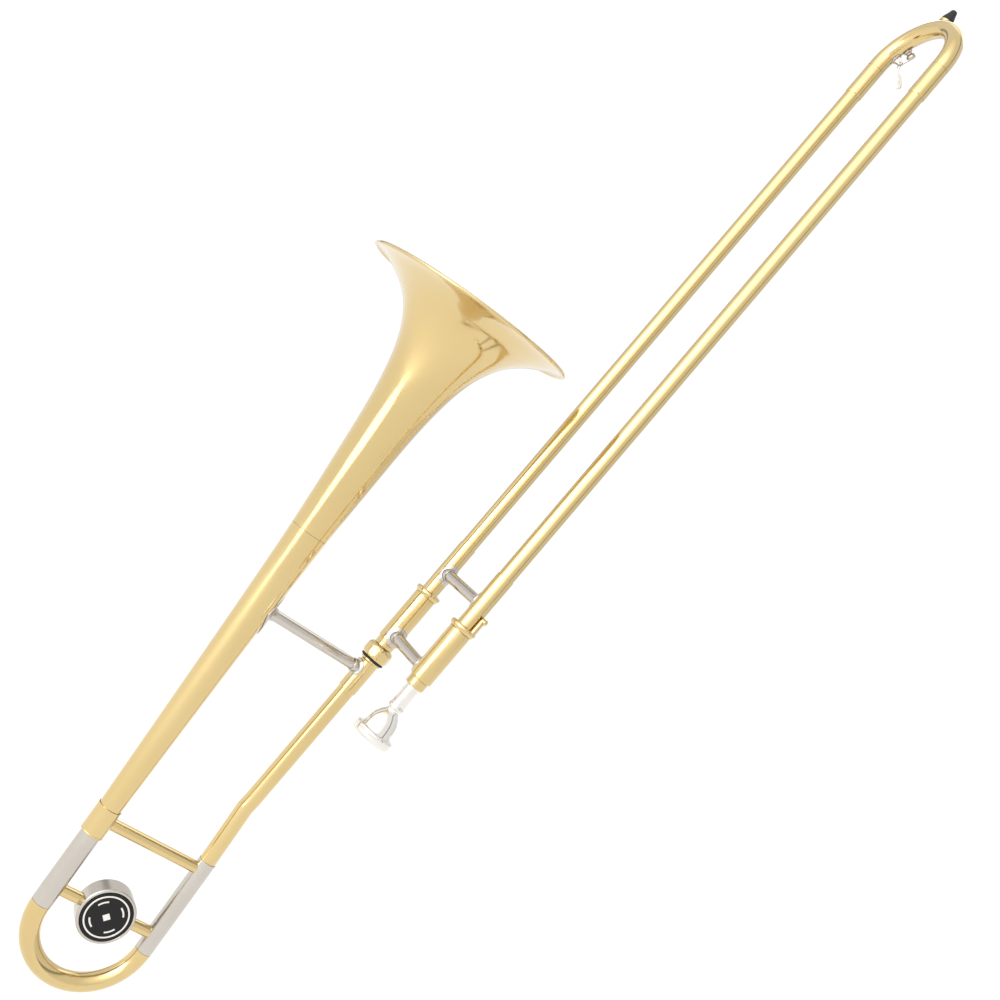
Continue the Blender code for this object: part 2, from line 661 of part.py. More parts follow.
def slide_lock():
    """The turning ring with its hook, and the lug on the outer slide that the hook goes over."""
    place = at(0, MOUTH_Y, RING_HEIGHT)
    ring = barrel_ring("slide_lock_ring", place)
    around = Matrix.Rotation(LOCK_ANGLE, 4, "Z")
    arm = box("lock_arm", (LOCK_ARM_THICKNESS, LOCK_ARM_WIDTH, LOCK_ARM_TOP), None, None,
              place @ around @ at(LOCK_ARM_RADIUS, 0, LOCK_ARM_TOP / 2))
    combine(ring, arm, "UNION")
    tip = Matrix.Rotation(HOOK_REACH, 3, "Z") @ Vector((LOCK_ARM_RADIUS, 0, 0))
    reach = tip - Vector((LOCK_ARM_RADIUS, 0, 0))
    hook = box("lock_hook", (HOOK_THICKNESS, reach.length, HOOK_HEIGHT), None, None,
               place @ around @ at(LOCK_ARM_RADIUS + reach.x / 2, reach.y / 2, LOCK_ARM_TOP - HOOK_HEIGHT / 2)
               @ Matrix.Rotation(math.atan2(-reach.x, reach.y), 4, "Z"))
    combine(ring, hook, "UNION")
    knob = ball("lock_knob", KNOB_RADIUS, None, None,
                place @ around @ at(LOCK_ARM_RADIUS + 1.0 * MM, 0, LOCK_ARM_TOP - 1.2 * MM))
    combine(ring, knob, "UNION")
    lug_turn = Matrix.Rotation(LOCK_ANGLE + LUG_OFFSET, 4, "Z")
    sideways = Matrix.Rotation(math.pi / 2, 4, "Y")
    rod("slide_lock_lug", LUG_RADIUS, SLEEVE_RADIUS + GAP, SLEEVE_RADIUS + GAP + LUG_LENGTH, BRASS, None,
        place @ at(0, 0, LUG_HEIGHT) @ lug_turn @ sideways, SMALL_ROUND)


def mouthpiece():
    outline = MOUTHPIECE_SHANK + MOUTHPIECE_RIM + MOUTHPIECE_CUP
    turned("mouthpiece", in_mm(outline), SILVER, None, at(0, MOUTH_Y, RING_HEIGHT), CUP_ROUND)


def lock_nut():
    """The nut that draws the bell section on to the slide tenon."""
    place = at(0, BELL_Y, RING_HEIGHT)
    nut = turned("bell_lock_nut", in_mm(NUT_OUTLINE), BRASS, None, place)
    flats = prism("nut_flats", NUT_SIDES, NUT_FLATS / math.cos(math.pi / NUT_SIDES), 2 * NUT_BOTTOM, 0, None,
                  None, place)
    combine(nut, flats, "INTERSECT")


def bell_place():
    """The bend of the gooseneck: +Z up its leaning leg, -X towards the bell."""
    return at(0, BELL_Y, height(BEND_HEIGHT)) @ Matrix.Rotation(-NECK_BEND, 4, "Y")


def bell_section():
    frame = bell_place()
    straight = at(0, BELL_Y, RING_HEIGHT)
    turned("bell_receiver", in_mm(RECEIVER_OUTLINE), BRASS, None, straight)
    gasket_bottom = NUT_BOTTOM - 1.5 * MM
    tube("receiver_gasket", GASKET_OUTER, GASKET_INNER, gasket_bottom, NUT_BOTTOM - GAP, RUBBER, None, straight)

    half = BEND_RADIUS * math.tan(NECK_BEND / 2)
    bend = frame @ Vector((0, 0, 0))
    centre = bend + UP * half - Vector((BEND_RADIUS, 0, 0))
    turn = arc(centre, Vector((1, 0, 0)), -UP, BEND_RADIUS, NECK_BEND_STEPS, NECK_BEND)
    route = [Vector((0, BELL_Y, height(NECK_TOP))), *turn, frame @ Vector((0, 0, LEG_TOP + GAP))]
    bent_tube("gooseneck", route, [NECK_RADIUS] * len(route), NECK_WALL, BRASS)

    bell_axis = frame @ at(-LEG_SPACING, 0, 0)
    for name, outline in (("bell_tail", BELL_TAIL_OUTLINE), ("bell_flare", BELL_FLARE_OUTLINE)):
        outside = [(radius * MM, z * MM) for z, radius in reversed(outline)]
        turned(name, shell_outline(outside, BELL_WALL), BRASS, None, bell_axis, BELL_ROUND)
    rim = BELL_DIAMETER / 2 - BEAD_RADIUS
    turns = [2 * math.pi * i / BEAD_SIDES for i in range(BEAD_SIDES)]
    bead = [(rim + BEAD_RADIUS * math.cos(a), RIM_HEIGHT - BEAD_RADIUS * math.sin(a)) for a in turns]
    turned("bell_rim_bead", bead, BRASS, None, bell_axis, BELL_ROUND)

    tube("bell_tail_ferrule", FERRULE_RADIUS, FERRULE_INSIDE, BELL_FERRULE_BOTTOM, FERRULE_TOP, BRASS, None, bell_axis)
    tube("tuning_leg_bell_side", BELL_LEG_RADIUS, BELL_LEG_RADIUS - LEG_WALL, LEG_BOTTOM, TAIL_BOTTOM - GAP,
         NICKEL, None, bell_axis)
    tube("tuning_leg_neck_side", NECK_LEG_RADIUS, NECK_LEG_RADIUS - LEG_WALL, LEG_BOTTOM, LEG_TOP, NICKEL,
         None, frame)

    leg_brace("upper_leg_brace", frame, UPPER_BRACE, FERRULE_RADIUS)
    leg_brace("lower_leg_brace", frame, LOWER_BRACE, BELL_LEG_RADIUS)
    counterweight(frame)
    bell_brace(frame)


def shell_outline(outside, wall):
    """A closed outline: the outer points, then the same points moved in by the wall, back to the start."""
    inside = []
    for i, point in enumerate(outside):
        before = Vector(outside[max(i - 1, 0)])
        after = Vector(outside[min(i + 1, len(outside) - 1)])
        way = (after - before).normalized()
        inside.append((point[0] + way.y * wall, point[1] - way.x * wall))
    return [*outside, *reversed(inside)]


def leg_brace(name, frame, level, bell_radius):
    """A brass tube between the two legs, its ends cut to fit round them."""
    place = frame @ at(0, 0, level) @ Matrix.Rotation(-math.pi / 2, 4, "Y")
    thing = tube(name, LEG_BRACE_RADIUS, LEG_BRACE_RADIUS - BRACE_WALL, 0, LEG_SPACING, BRASS, None, place,
                 SMALL_ROUND)
    for end, x, radius in (("neck", 0, NECK_LEG_RADIUS), ("bell", -LEG_SPACING, bell_radius)):
        cutter = rod(f"{name}_{end}_cut", radius + GAP, level - 20 * MM, level + 20 * MM, None, None,
                     frame @ at(x, 0, 0))
        combine(thing, cutter, "DIFFERENCE")


def counterweight(frame):
    """The drum on the lower brace, with its black cap and the metal ring let into the cap."""
    place = frame @ at(-LEG_SPACING / 2, 0, LOWER_BRACE) @ Matrix.Rotation(math.pi / 2, 4, "X")
    drum = turned(
        "counterweight_drum",
        (
            (0, DRUM_FRONT - CAP_DEPTH - GAP),
            (CAP_RADIUS + GAP, DRUM_FRONT - CAP_DEPTH - GAP),
            (CAP_RADIUS + GAP, DRUM_FRONT),
            (DRUM_RADIUS - 1 * MM, DRUM_FRONT),
            (DRUM_RADIUS, DRUM_FRONT - 1 * MM),
            (DRUM_RADIUS, -DRUM_BACK + 2 * MM),
            (DRUM_RADIUS - 2 * MM, -DRUM_BACK),
            (0, -DRUM_BACK),
        ),
        NICKEL, None, place, DRUM_ROUND, closed=False,
    )
    hole = rod("drum_hole", LEG_BRACE_RADIUS + GAP, -40 * MM, 40 * MM, None, None,
               place @ Matrix.Rotation(math.pi / 2, 4, "Y"), SMALL_ROUND)
    combine(drum, hole, "DIFFERENCE")
    cap_bottom = DRUM_FRONT - CAP_DEPTH
    groove = DRUM_FRONT - INLAY_HEIGHT
    turned(
        "counterweight_cap",
        (
            (0, DRUM_FRONT),
            (INLAY_INNER - GAP, DRUM_FRONT),
            (INLAY_INNER - GAP, groove - GAP),
            (INLAY_OUTER + GAP, groove - GAP),
            (INLAY_OUTER + GAP, DRUM_FRONT),
            (CAP_RADIUS, DRUM_FRONT),
            (CAP_RADIUS, cap_bottom),
            (0, cap_bottom),
        ),
        BLACK, None, place, DRUM_ROUND, closed=False,
    )
    tube("counterweight_cap_ring", INLAY_OUTER, INLAY_INNER, groove, DRUM_FRONT, SILVER, None, place, DRUM_ROUND)


def bell_brace(frame):
    """The nickel brace between the bell and the receiver, with a diamond flange on the bell."""
    bell_end = frame @ Vector((-LEG_SPACING, 0, BELL_BRACE))
    along_bell = frame.to_3x3() @ UP
    across = frame.to_3x3() @ Vector((1, 0, 0))
    neck_end = bell_end + across * (LEG_SPACING + BELL_BRACE * math.tan(NECK_BEND))
    taper = Matrix.Rotation(BELL_TAPER, 3, along_bell.cross(across))
    flange("bell_brace_flange_bell", facing(bell_end, taper @ along_bell), BRACED_BELL_RADIUS,
           facing(bell_end, across, along_bell), BELL_BRACE_RADIUS, NICKEL, DIAMOND_REACH, 4, DIAMOND_STRETCH)
    flange("bell_brace_flange_neck", facing(neck_end, UP), RECEIVER_RADIUS, facing(neck_end, -across, UP),
           BELL_BRACE_RADIUS, NICKEL, NECK_FLANGE_REACH)
    brace_between("bell_brace", bell_end, neck_end, BELL_BRACE_RADIUS, BRACED_BELL_RADIUS, RECEIVER_RADIUS, NICKEL)


def tuning_slide():
    """The brass bow that pulls out, and its two inner legs."""
    frame = bell_place()
    foot = LEG_BOTTOM - GAP
    inner_foot = LEG_BOTTOM
    radius = LEG_SPACING / 2
    middle = frame @ Vector((-radius, 0, foot - 1 * MM))
    towards_bell = frame.to_3x3() @ Vector((-1, 0, 0))
    down = frame.to_3x3() @ Vector((0, 0, -1))
    turn = arc(middle, towards_bell, down, radius, TUNING_BOW_STEPS)
    route = [turn[0] - down * 1 * MM, *turn, turn[-1] - down * 1 * MM]
    wide = BELL_LEG_RADIUS - 0.1 * MM
    narrow = NECK_LEG_RADIUS - 0.1 * MM
    last = len(route) - 1
    radii = [wide + (narrow - wide) * i / last for i in range(len(route))]
    bent_tube("tuning_bow", route, radii, BOW_WALL, BRASS)
    bell_axis = frame @ at(-LEG_SPACING, 0, 0)
    bell_leg = BELL_LEG_RADIUS - LEG_WALL - GAP
    neck_leg = NECK_LEG_RADIUS - LEG_WALL - GAP
    tube("tuning_inner_leg_bell_side", bell_leg, bell_leg - LEG_WALL, inner_foot, INNER_LEG_TOP, NICKEL,
         None, bell_axis)
    tube("tuning_inner_leg_neck_side", neck_leg, neck_leg - LEG_WALL, inner_foot, INNER_LEG_TOP, NICKEL,
         None, frame)


def shade_parts():
    """Each part's finished mesh, with smooth rounds and sharp edges."""
    graph = bpy.context.evaluated_depsgraph_get()
    finished = {}
    for thing in PARTS.objects:
        if thing.type == "MESH":
            finished[thing] = bpy.data.meshes.new_from_object(thing.evaluated_get(graph))
    for thing, mesh in finished.items():
        thing.modifiers.clear()
        mesh.shade_smooth()
        mesh.set_sharp_from_angle(angle=SHARP_EDGE)
        mesh.name = thing.name
        thing.data = mesh


group("inner_slide_section", Matrix(), inner_slide)
group("outer_slide_section", Matrix(), outer_slide)
group("water_key_group", Matrix(), water_key)
group("slide_lock_group", at(0, MOUTH_Y, RING_HEIGHT), slide_lock)
group("mouthpiece_group", at(0, MOUTH_Y, RING_HEIGHT), mouthpiece)
group("lock_nut_group", at(0, BELL_Y, RING_HEIGHT), lock_nut)
group("bell_section", at(0, BELL_Y, RING_HEIGHT), bell_section)
group("tuning_slide", bell_place(), tuning_slide)
shade_parts()
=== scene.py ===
"""A tenor trombone in lacquered brass, with its slide pointing up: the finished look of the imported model.

Metres, +Z along the slide, origin in the middle of the hand brace, bell towards -X. Heights in the tables
are millimetres above the barrel rings, or along the bell's legs from the bend of the gooseneck.
"""

import json
import math

import bmesh
import bpy
from mathutils import Matrix, Vector


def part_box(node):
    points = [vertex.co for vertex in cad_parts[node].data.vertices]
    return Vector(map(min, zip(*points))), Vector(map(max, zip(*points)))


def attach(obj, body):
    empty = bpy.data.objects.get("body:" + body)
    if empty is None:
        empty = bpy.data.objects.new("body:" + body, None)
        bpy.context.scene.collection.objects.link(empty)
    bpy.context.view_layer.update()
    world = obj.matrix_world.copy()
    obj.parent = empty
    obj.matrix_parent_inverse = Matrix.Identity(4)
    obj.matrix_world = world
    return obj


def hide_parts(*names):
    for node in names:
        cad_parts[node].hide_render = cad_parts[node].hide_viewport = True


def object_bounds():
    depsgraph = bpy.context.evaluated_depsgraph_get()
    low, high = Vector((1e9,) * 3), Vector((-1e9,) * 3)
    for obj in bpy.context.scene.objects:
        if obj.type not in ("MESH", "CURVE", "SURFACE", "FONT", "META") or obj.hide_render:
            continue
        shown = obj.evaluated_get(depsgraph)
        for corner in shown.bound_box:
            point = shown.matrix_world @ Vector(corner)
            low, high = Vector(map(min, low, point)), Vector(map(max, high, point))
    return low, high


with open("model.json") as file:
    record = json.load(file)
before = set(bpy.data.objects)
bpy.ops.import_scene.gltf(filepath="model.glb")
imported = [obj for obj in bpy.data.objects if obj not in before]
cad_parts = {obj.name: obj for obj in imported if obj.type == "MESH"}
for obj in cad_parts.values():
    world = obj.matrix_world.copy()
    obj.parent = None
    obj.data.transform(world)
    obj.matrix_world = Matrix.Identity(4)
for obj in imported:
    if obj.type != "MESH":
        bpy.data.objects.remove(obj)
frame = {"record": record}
CAD_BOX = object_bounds()

bl_info = {
    "name": "Tenor trombone",
    "version": (1, 0, 0),
    "blender": (4, 5, 0),
    "location": "3D View > Sidebar > Trombone",
    "description": "Builds the finished surfaces of a tenor trombone round its solid model",
    "category": "Add Mesh",
}

MM = 0.001
UP = Vector((0, 0, 1))


def middle_of(node):
    low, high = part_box(node)
    return (low + high) / 2


# Places that come from the solid model.
SPACING = 2 * middle_of("outer_slide_tube_bell_side").y
RING_HEIGHT = middle_of("barrel_ring").z
RIM_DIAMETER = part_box("bell_rim_bead")[1].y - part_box("bell_rim_bead")[0].y
BODY_OF = {node: body for body, nodes in frame["record"]["behaviour"]["bodies"].items() for node in nodes}

# The bell's frame: its bend below the rings, its lean, and the distance between its two legs.
BEND_HEIGHT = -243.3 * MM
NECK_BEND = math.radians(5.15)
LEG_SPACING = 107 * MM

# Rounding and fineness.
EDGE = 0.25 * MM  # rounding of a turned edge
EDGE_STEPS = 3
ROUND = 72
BELL_ROUND = 160
DRUM_ROUND = 128
SMALL_ROUND = 32
BOW_STEPS = 72
SHARP = math.radians(50)
SAME_WAY = math.radians(14)  # a profile that turns less than this is one smooth curve


class TromboneSizes(bpy.types.PropertyGroup):
    """Sizes of the brasswork that a maker would choose."""

    slide_spacing: bpy.props.FloatProperty(
        name="Slide spacing", description="Between the centre lines of the two slide tubes",
        default=SPACING, unit="LENGTH")
    bell_diameter: bpy.props.FloatProperty(
        name="Bell diameter", description="Across the rim of the bell, over its bead",
        default=RIM_DIAMETER, unit="LENGTH")
    bell_wall: bpy.props.FloatProperty(
        name="Bell wall", description="Thickness of the bell's sheet brass as it shows at the rim",
        default=0.6 * MM, unit="LENGTH")
    brace_boss: bpy.props.FloatProperty(
        name="Brace boss", description="Height of the boss on a flange, above its tube",
        default=4 * MM, unit="LENGTH")


def hex_property(name, description, default):
    return bpy.props.StringProperty(name=name, description=description, default=default)


class TromboneColours(bpy.types.PropertyGroup):
    """Colours of the finishes, as sRGB hex."""

    brass: hex_property("Brass", "Yellow brass under clear lacquer", "#DCC48C")
    brass_deep: hex_property("Deep brass", "Brass where the lacquer is thicker", "#D3B97F")
    nickel: hex_property("Nickel silver", "Polished nickel silver of legs and braces", "#CEC8C0")
    silver: hex_property("Silver plate", "Bright silver plate of the mouthpiece", "#F0EDE8")
    chrome: hex_property("Hard chrome", "Chrome of the inner slide tubes", "#C8CCD2")
    rubber: hex_property("Rubber", "Moulded rubber of the bumper", "#1C1C1F")
    plastic: hex_property("Cap", "Black cap of the counterweight", "#050506")
    cork: hex_property("Cork", "Cork of the bumpers and the key's pad", "#B08656")
    steel: hex_property("Spring steel", "Spring and pin of the water key", "#8B8D90")
    floor: hex_property("Floor", "Plain pale floor", "#FFFFFF")


class TromboneStudio(bpy.types.PropertyGroup):
    """The plain studio round the trombone."""

    floor_drop: bpy.props.FloatProperty(
        name="Floor drop", description="From the tuning bow down to the floor", default=0.09, unit="LENGTH")
    surround: bpy.props.FloatProperty(
        name="Surround", description="Brightness of the white room in reflections", default=0.95)
    ambient: bpy.props.FloatProperty(
        name="Ambient", description="Brightness of the white room on matt surfaces", default=1.38)
    key_power: bpy.props.FloatProperty(
        name="Key light", description="Power of the key light", default=12, subtype="POWER")


# ---------------------------------------------------------------- materials

def linear(hex_colour):
    """An sRGB hex colour as the linear colour that a shader takes."""
    made = []
    for i in (1, 3, 5):
        value = int(hex_colour[i:i + 2], 16) / 255
        made.append(value / 12.92 if value <= 0.04045 else ((value + 0.055) / 1.055) ** 2.4)
    return (*made, 1)


def add_node(tree, kind, values=(), links=(), **settings):
    """Adds a node: settings are its attributes, values its own inputs and links the sockets that feed it."""
    node = tree.nodes.new(kind)
    for name, value in settings.items():
        setattr(node, name, value)
    for socket, value in dict(values).items():
        node.inputs[socket].default_value = value
    for socket, source in dict(links).items():
        tree.links.new(source, node.inputs[socket])
    return node


def new_material(name, values):
    """A material with one Principled surface whose whole-surface numbers are set on its own sockets."""
    made = bpy.data.materials.new(name)
    made.use_nodes = True
    tree = made.node_tree
    tree.nodes.clear()
    surface = add_node(tree, "ShaderNodeBsdfPrincipled", values)
    add_node(tree, "ShaderNodeOutputMaterial", links={"Surface": surface.outputs[0]})
    return made, tree, surface


def worked_metal(name, colour, deep, roughness, values, line_mm, line_bump, cloud_mm=70):
    """A metal with a slow change of colour, drawing lines along its length and a little uneven polish.

    roughness is (least, most), and line_mm is the width of the lines across the surface.
    """
    made, tree, surface = new_material(name, {"Metallic": 1.0, **values})
    place = add_node(tree, "ShaderNodeTexCoord").outputs["Object"]
    cloud = add_node(tree, "ShaderNodeTexNoise", {"Scale": 1 / (cloud_mm * MM), "Detail": 2.0},
                     {"Vector": place})
    tint = add_node(tree, "ShaderNodeMix", {6: linear(colour), 7: linear(deep)}, {0: cloud.outputs["Fac"]},
                    data_type="RGBA")
    along = add_node(tree, "ShaderNodeMapping", {"Scale": (1, 1, 0.012)}, {"Vector": place})
    lines = add_node(tree, "ShaderNodeTexNoise", {"Scale": 1 / (line_mm * MM), "Detail": 3.0},
                     {"Vector": along.outputs[0]})
    smear = add_node(tree, "ShaderNodeTexNoise", {"Scale": 1 / (9 * MM), "Detail": 4.0, "Roughness": 0.6},
                     {"Vector": place})
    worn = add_node(tree, "ShaderNodeMath", links={0: lines.outputs["Fac"], 1: smear.outputs["Fac"]},
                    operation="MULTIPLY")
    shine = add_node(tree, "ShaderNodeMapRange",
                     {"From Min": 0.15, "From Max": 0.4, "To Min": roughness[0], "To Max": roughness[1]},
                     {"Value": worn.outputs[0]})
    relief = add_node(tree, "ShaderNodeBump", {"Strength": line_bump, "Distance": 0.02 * MM},
                      {"Height": lines.outputs["Fac"]})
    tree.links.new(tint.outputs[2], surface.inputs["Base Color"])
    tree.links.new(shine.outputs[0], surface.inputs["Roughness"])
    tree.links.new(relief.outputs[0], surface.inputs["Normal"])
    return made


def moulded(name, colour, roughness, grain_mm, bump, values=()):
    """A moulded or natural surface with a fine grain that breaks its shine."""
    made, tree, surface = new_material(name, dict(values))
    place = add_node(tree, "ShaderNodeTexCoord").outputs["Object"]
    grain = add_node(tree, "ShaderNodeTexNoise", {"Scale": 1 / (grain_mm * MM), "Detail": 3.0},
                     {"Vector": place})
    dark = tuple(0.55 * channel for channel in linear(colour)[:3])
    tint = add_node(tree, "ShaderNodeMix", {6: (*dark, 1), 7: linear(colour)}, {0: grain.outputs["Fac"]},
                    data_type="RGBA")
    shine = add_node(tree, "ShaderNodeMapRange", {"To Min": roughness[0], "To Max": roughness[1]},
                     {"Value": grain.outputs["Fac"]})
    relief = add_node(tree, "ShaderNodeBump", {"Strength": bump, "Distance": 0.1 * MM},
                      {"Height": grain.outputs["Fac"]})
    tree.links.new(tint.outputs[2], surface.inputs["Base Color"])
    tree.links.new(shine.outputs[0], surface.inputs["Roughness"])
    tree.links.new(relief.outputs[0], surface.inputs["Normal"])
    return made


LOOKS = {}
BRASS = "lacquered_brass"
NICKEL = "nickel_silver"
SILVER = "silver_plate"


def make_looks(colours):
    """Every finish of the trombone, under the name of its material slot."""
    # Yellow brass drawn to tube, buffed and dipped in clear lacquer: a warm mirror under a thin glassy coat.
    LOOKS[BRASS] = worked_metal(
        "yellow_brass_drawn_buffed_and_lacquered", colours.brass, colours.brass_deep, (0.12, 0.19),
        {"Coat Weight": 0.6, "Coat Roughness": 0.05, "Coat IOR": 1.5}, 0.9, 0.015)
    # Spun brass of the bell: the same metal, polished a little sharper, with lines too fine to see one by one.
    LOOKS["spun_brass"] = worked_metal(
        "yellow_brass_spun_buffed_and_lacquered", colours.brass, colours.brass_deep, (0.09, 0.16),
        {"Coat Weight": 0.6, "Coat Roughness": 0.04, "Coat IOR": 1.5}, 1.6, 0.01, 120)
    # Nickel silver drawn to tube and polished: a grey mirror with a faint warm cast and lines along the tube.
    LOOKS[NICKEL] = worked_metal(
        "nickel_silver_drawn_and_polished", colours.nickel, "#BDB6AD", (0.15, 0.28), {}, 0.7, 0.10)
    # Silver electroplate on turned brass: the whitest and sharpest mirror on the instrument.
    LOOKS[SILVER] = worked_metal(
        "silver_plate_on_turned_brass", colours.silver, "#E6E2DC", (0.06, 0.14), {}, 1.2, 0.03, 20)
    # Hard chrome, ground and honed: a cool mirror with grinding lines.
    LOOKS["hard_chrome"] = worked_metal(
        "hard_chrome_ground_and_honed", colours.chrome, "#B9BEC6", (0.06, 0.12), {}, 0.6, 0.05)
    # Blued spring steel wire: a dark satin metal.
    LOOKS["spring_steel"] = worked_metal(
        "spring_steel_wire_drawn", colours.steel, "#6A6C72", (0.25, 0.38), {}, 0.4, 0.10)
    # Black nitrile rubber, moulded: dull, with a fine bloom.
    LOOKS["black_rubber"] = moulded(
        "nitrile_rubber_moulded", colours.rubber, (0.55, 0.75), 0.8, 0.25, {"IOR": 1.52})
    # Black ABS, moulded and polished: dark with a soft gloss.
    LOOKS["black_plastic"] = moulded(
        "abs_moulded_and_polished", colours.plastic, (0.16, 0.26), 1.5, 0.04,
        {"IOR": 1.54, "Specular IOR Level": 0.3})
    # Cut cork: a dry brown with darker pores.
    LOOKS["cork"] = moulded("cork_cut_and_sanded", colours.cork, (0.8, 0.95), 1.1, 0.5, {"IOR": 1.4})


# ---------------------------------------------------------------- shapes

def at(x, y, z):
    return Matrix.Translation((x, y, z))


def facing(point, direction, side):
    """A place at a point whose +Z looks along direction and whose +X looks towards side."""
    z = Vector(direction).normalized()
    x = Vector(side)
    x = (x - z * x.dot(z)).normalized()
    turn = Matrix((x, z.cross(x), z)).transposed()
    return Matrix.Translation(point) @ turn.to_4x4()


def in_mm(outline):
    return [(radius * MM, height * MM) for radius, height in outline]


def smooth_line(points, steps):
    """A curve through every point, with steps pieces between neighbours."""
    points = [Vector(point) for point in points]
    made = []
    for i in range(len(points) - 1):
        before = points[max(i - 1, 0)]
        start, end = points[i], points[i + 1]
        after = points[min(i + 2, len(points) - 1)]
        for k in range(steps):
            t = k / steps
            made.append(0.5 * (2 * start + (end - before) * t
                               + (2 * before - 5 * start + 4 * end - after) * t * t
                               + (3 * start - before - 3 * end + after) * t ** 3))
    return [*made, points[-1]]


def eased(outline, radius, closed=True):
    """The outline with its corners rounded, and a point on each side that keeps the straights flat."""
    made = []
    count = len(outline)
    for i, point in enumerate(outline):
        here = Vector(point)
        if not closed and i in (0, count - 1):
            made.append(here)
            continue
        back = Vector(outline[i - 1]) - here
        ahead = Vector(outline[(i + 1) % count]) - here
        if back.angle(-ahead) < SAME_WAY:
            made.append(here)
            continue
        cut = min(radius, 0.3 * back.length, 0.3 * ahead.length)
        back.normalize()
        ahead.normalize()
        made.append(here + back * cut * 1.5)
        for k in range(EDGE_STEPS + 1):
            t = k / EDGE_STEPS
            made.append(here + back * cut * (1 - t) ** 2 + ahead * cut * t ** 2)
        made.append(here + ahead * cut * 1.5)
    return made


def bridge(work, first, second):
    """Faces between two rings of points, either of which may be a single point."""
    count = max(len(first), len(second))
    for i in range(count):
        j = (i + 1) % count
        corners = [ring[k % len(ring)] for ring, k in ((first, i), (first, j), (second, j), (second, i))]
        corners = list(dict.fromkeys(corners))
        if len(corners) > 2:
            work.faces.new(corners)


def loft(work, rings, closed):
    """Joins rings of places into one skin, and its last ring to its first if it is closed."""
    made = [[work.verts.new(spot) for spot in ring] for ring in rings]
    for first, second in zip(made, made[1:]):
        bridge(work, first, second)
    if closed:
        bridge(work, made[-1], made[0])


def finished(work, name, look, place=None):
    """An object from a work mesh, facing out, smooth, with its hard edges kept."""
    bmesh.ops.recalc_face_normals(work, faces=work.faces)
    mesh = bpy.data.meshes.new(name)
    work.to_mesh(mesh)
    work.free()
    mesh.materials.append(LOOKS[look])
    mesh.shade_smooth()
    mesh.set_sharp_from_angle(angle=SHARP)
    thing = bpy.data.objects.new(name, mesh)
    bpy.context.scene.collection.objects.link(thing)
    thing.matrix_world = Matrix() if place is None else place
    return thing


def circle(radius, height, steps, flats=None):
    """A ring of places, kept inside an octagon whose flats are this far from the axis."""
    if radius < 1e-9:
        return [Vector((0, 0, height))]
    ring = []
    for i in range(steps):
        turn = 2 * math.pi * i / steps
        reach = radius
        if flats:
            off = (turn + math.pi / 8) % (math.pi / 4) - math.pi / 8
            reach = min(radius, flats / math.cos(off))
        ring.append(Vector((reach * math.cos(turn), reach * math.sin(turn), height)))
    return ring


def turned(name, outline, look, place, steps=ROUND, ease=EDGE, closed=True, flats=None):
    """A piece turned on a lathe, from an outline of (radius, height)."""
    profile = eased(outline, ease, closed)
    work = bmesh.new()
    loft(work, [circle(radius, height, steps, flats) for radius, height in profile], closed)
    return finished(work, name, look, place)


def pipe_outline(outside, inside, bottom, top):
    return ((outside, top), (outside, bottom), (inside, bottom), (inside, top))


def frames_along(route):
    """A place at each point of a route, turning as little as it can."""
    made = []
    side = None
    for i, point in enumerate(route):
        before = route[max(i - 1, 0)]
        after = route[min(i + 1, len(route) - 1)]
        way = (after - before).normalized()
        if side is None:
            side = way.orthogonal().normalized()
        side = (side - way * side.dot(way)).normalized()
        made.append((point, side, way.cross(side)))
    return made


def round_ring(frame_here, radius, sides):
    point, side, other = frame_here
    turns = [2 * math.pi * i / sides for i in range(sides)]
    return [point + radius * (math.cos(turn) * side + math.sin(turn) * other) for turn in turns]


def swept(name, route, radii, wall, look, sides=48, place=None):
    """A tube of that wall along a route, or a solid rod if the wall is None."""
    places = frames_along(route)
    outside = [round_ring(here, radius, sides) for here, radius in zip(places, radii)]
    work = bmesh.new()
    if wall is None:
        loft(work, [[route[0]], *outside, [route[-1]]], closed=False)
    else:
        inside = [round_ring(here, radius - wall, sides) for here, radius in zip(places, radii)]
        loft(work, [*outside, *reversed(inside)], closed=True)
    return finished(work, name, look, place)


def strap(name, route, widths, thickness, across, look):
    """A flat bar with rounded edges along a route, its width lying along across."""
    across = Vector(across).normalized()
    rings = []
    for i, point in enumerate(route):
        before = route[max(i - 1, 0)]
        after = route[min(i + 1, len(route) - 1)]
        lift = (after - before).normalized().cross(across).normalized()
        ring = []
        for k in range(SMALL_ROUND):
            turn = 2 * math.pi * k / SMALL_ROUND
            u, v = math.cos(turn), math.sin(turn)
            u = math.copysign(abs(u) ** 0.35, u)
            v = math.copysign(abs(v) ** 0.35, v)
            ring.append(point + across * u * widths[i] / 2 + lift * v * thickness / 2)
        rings.append(ring)
    work = bmesh.new()
    loft(work, [[route[0]], *rings, [route[-1]]], closed=False)
    return finished(work, name, look)


def joined(name, things):
    """Several shapes as one piece with that name."""
    work = bmesh.new()
    for thing in things:
        mesh = thing.data.copy()
        mesh.transform(thing.matrix_world)
        work.from_mesh(mesh)
        bpy.data.meshes.remove(mesh)
    look = things[0].data.materials[0]
    for thing in things:
        bpy.data.objects.remove(thing)
    mesh = bpy.data.meshes.new(name)
    work.to_mesh(mesh)
    work.free()
    mesh.materials.append(look)
    mesh.shade_smooth()
    mesh.set_sharp_from_angle(angle=SHARP)
    made = bpy.data.objects.new(name, mesh)
    bpy.context.scene.collection.objects.link(made)
    return made


def settle(thing, *nodes):
    """The piece stands for these nodes of the solid model, and moves and is named as they are."""
    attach(thing, BODY_OF[nodes[0]])
    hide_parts(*nodes)
    return thing


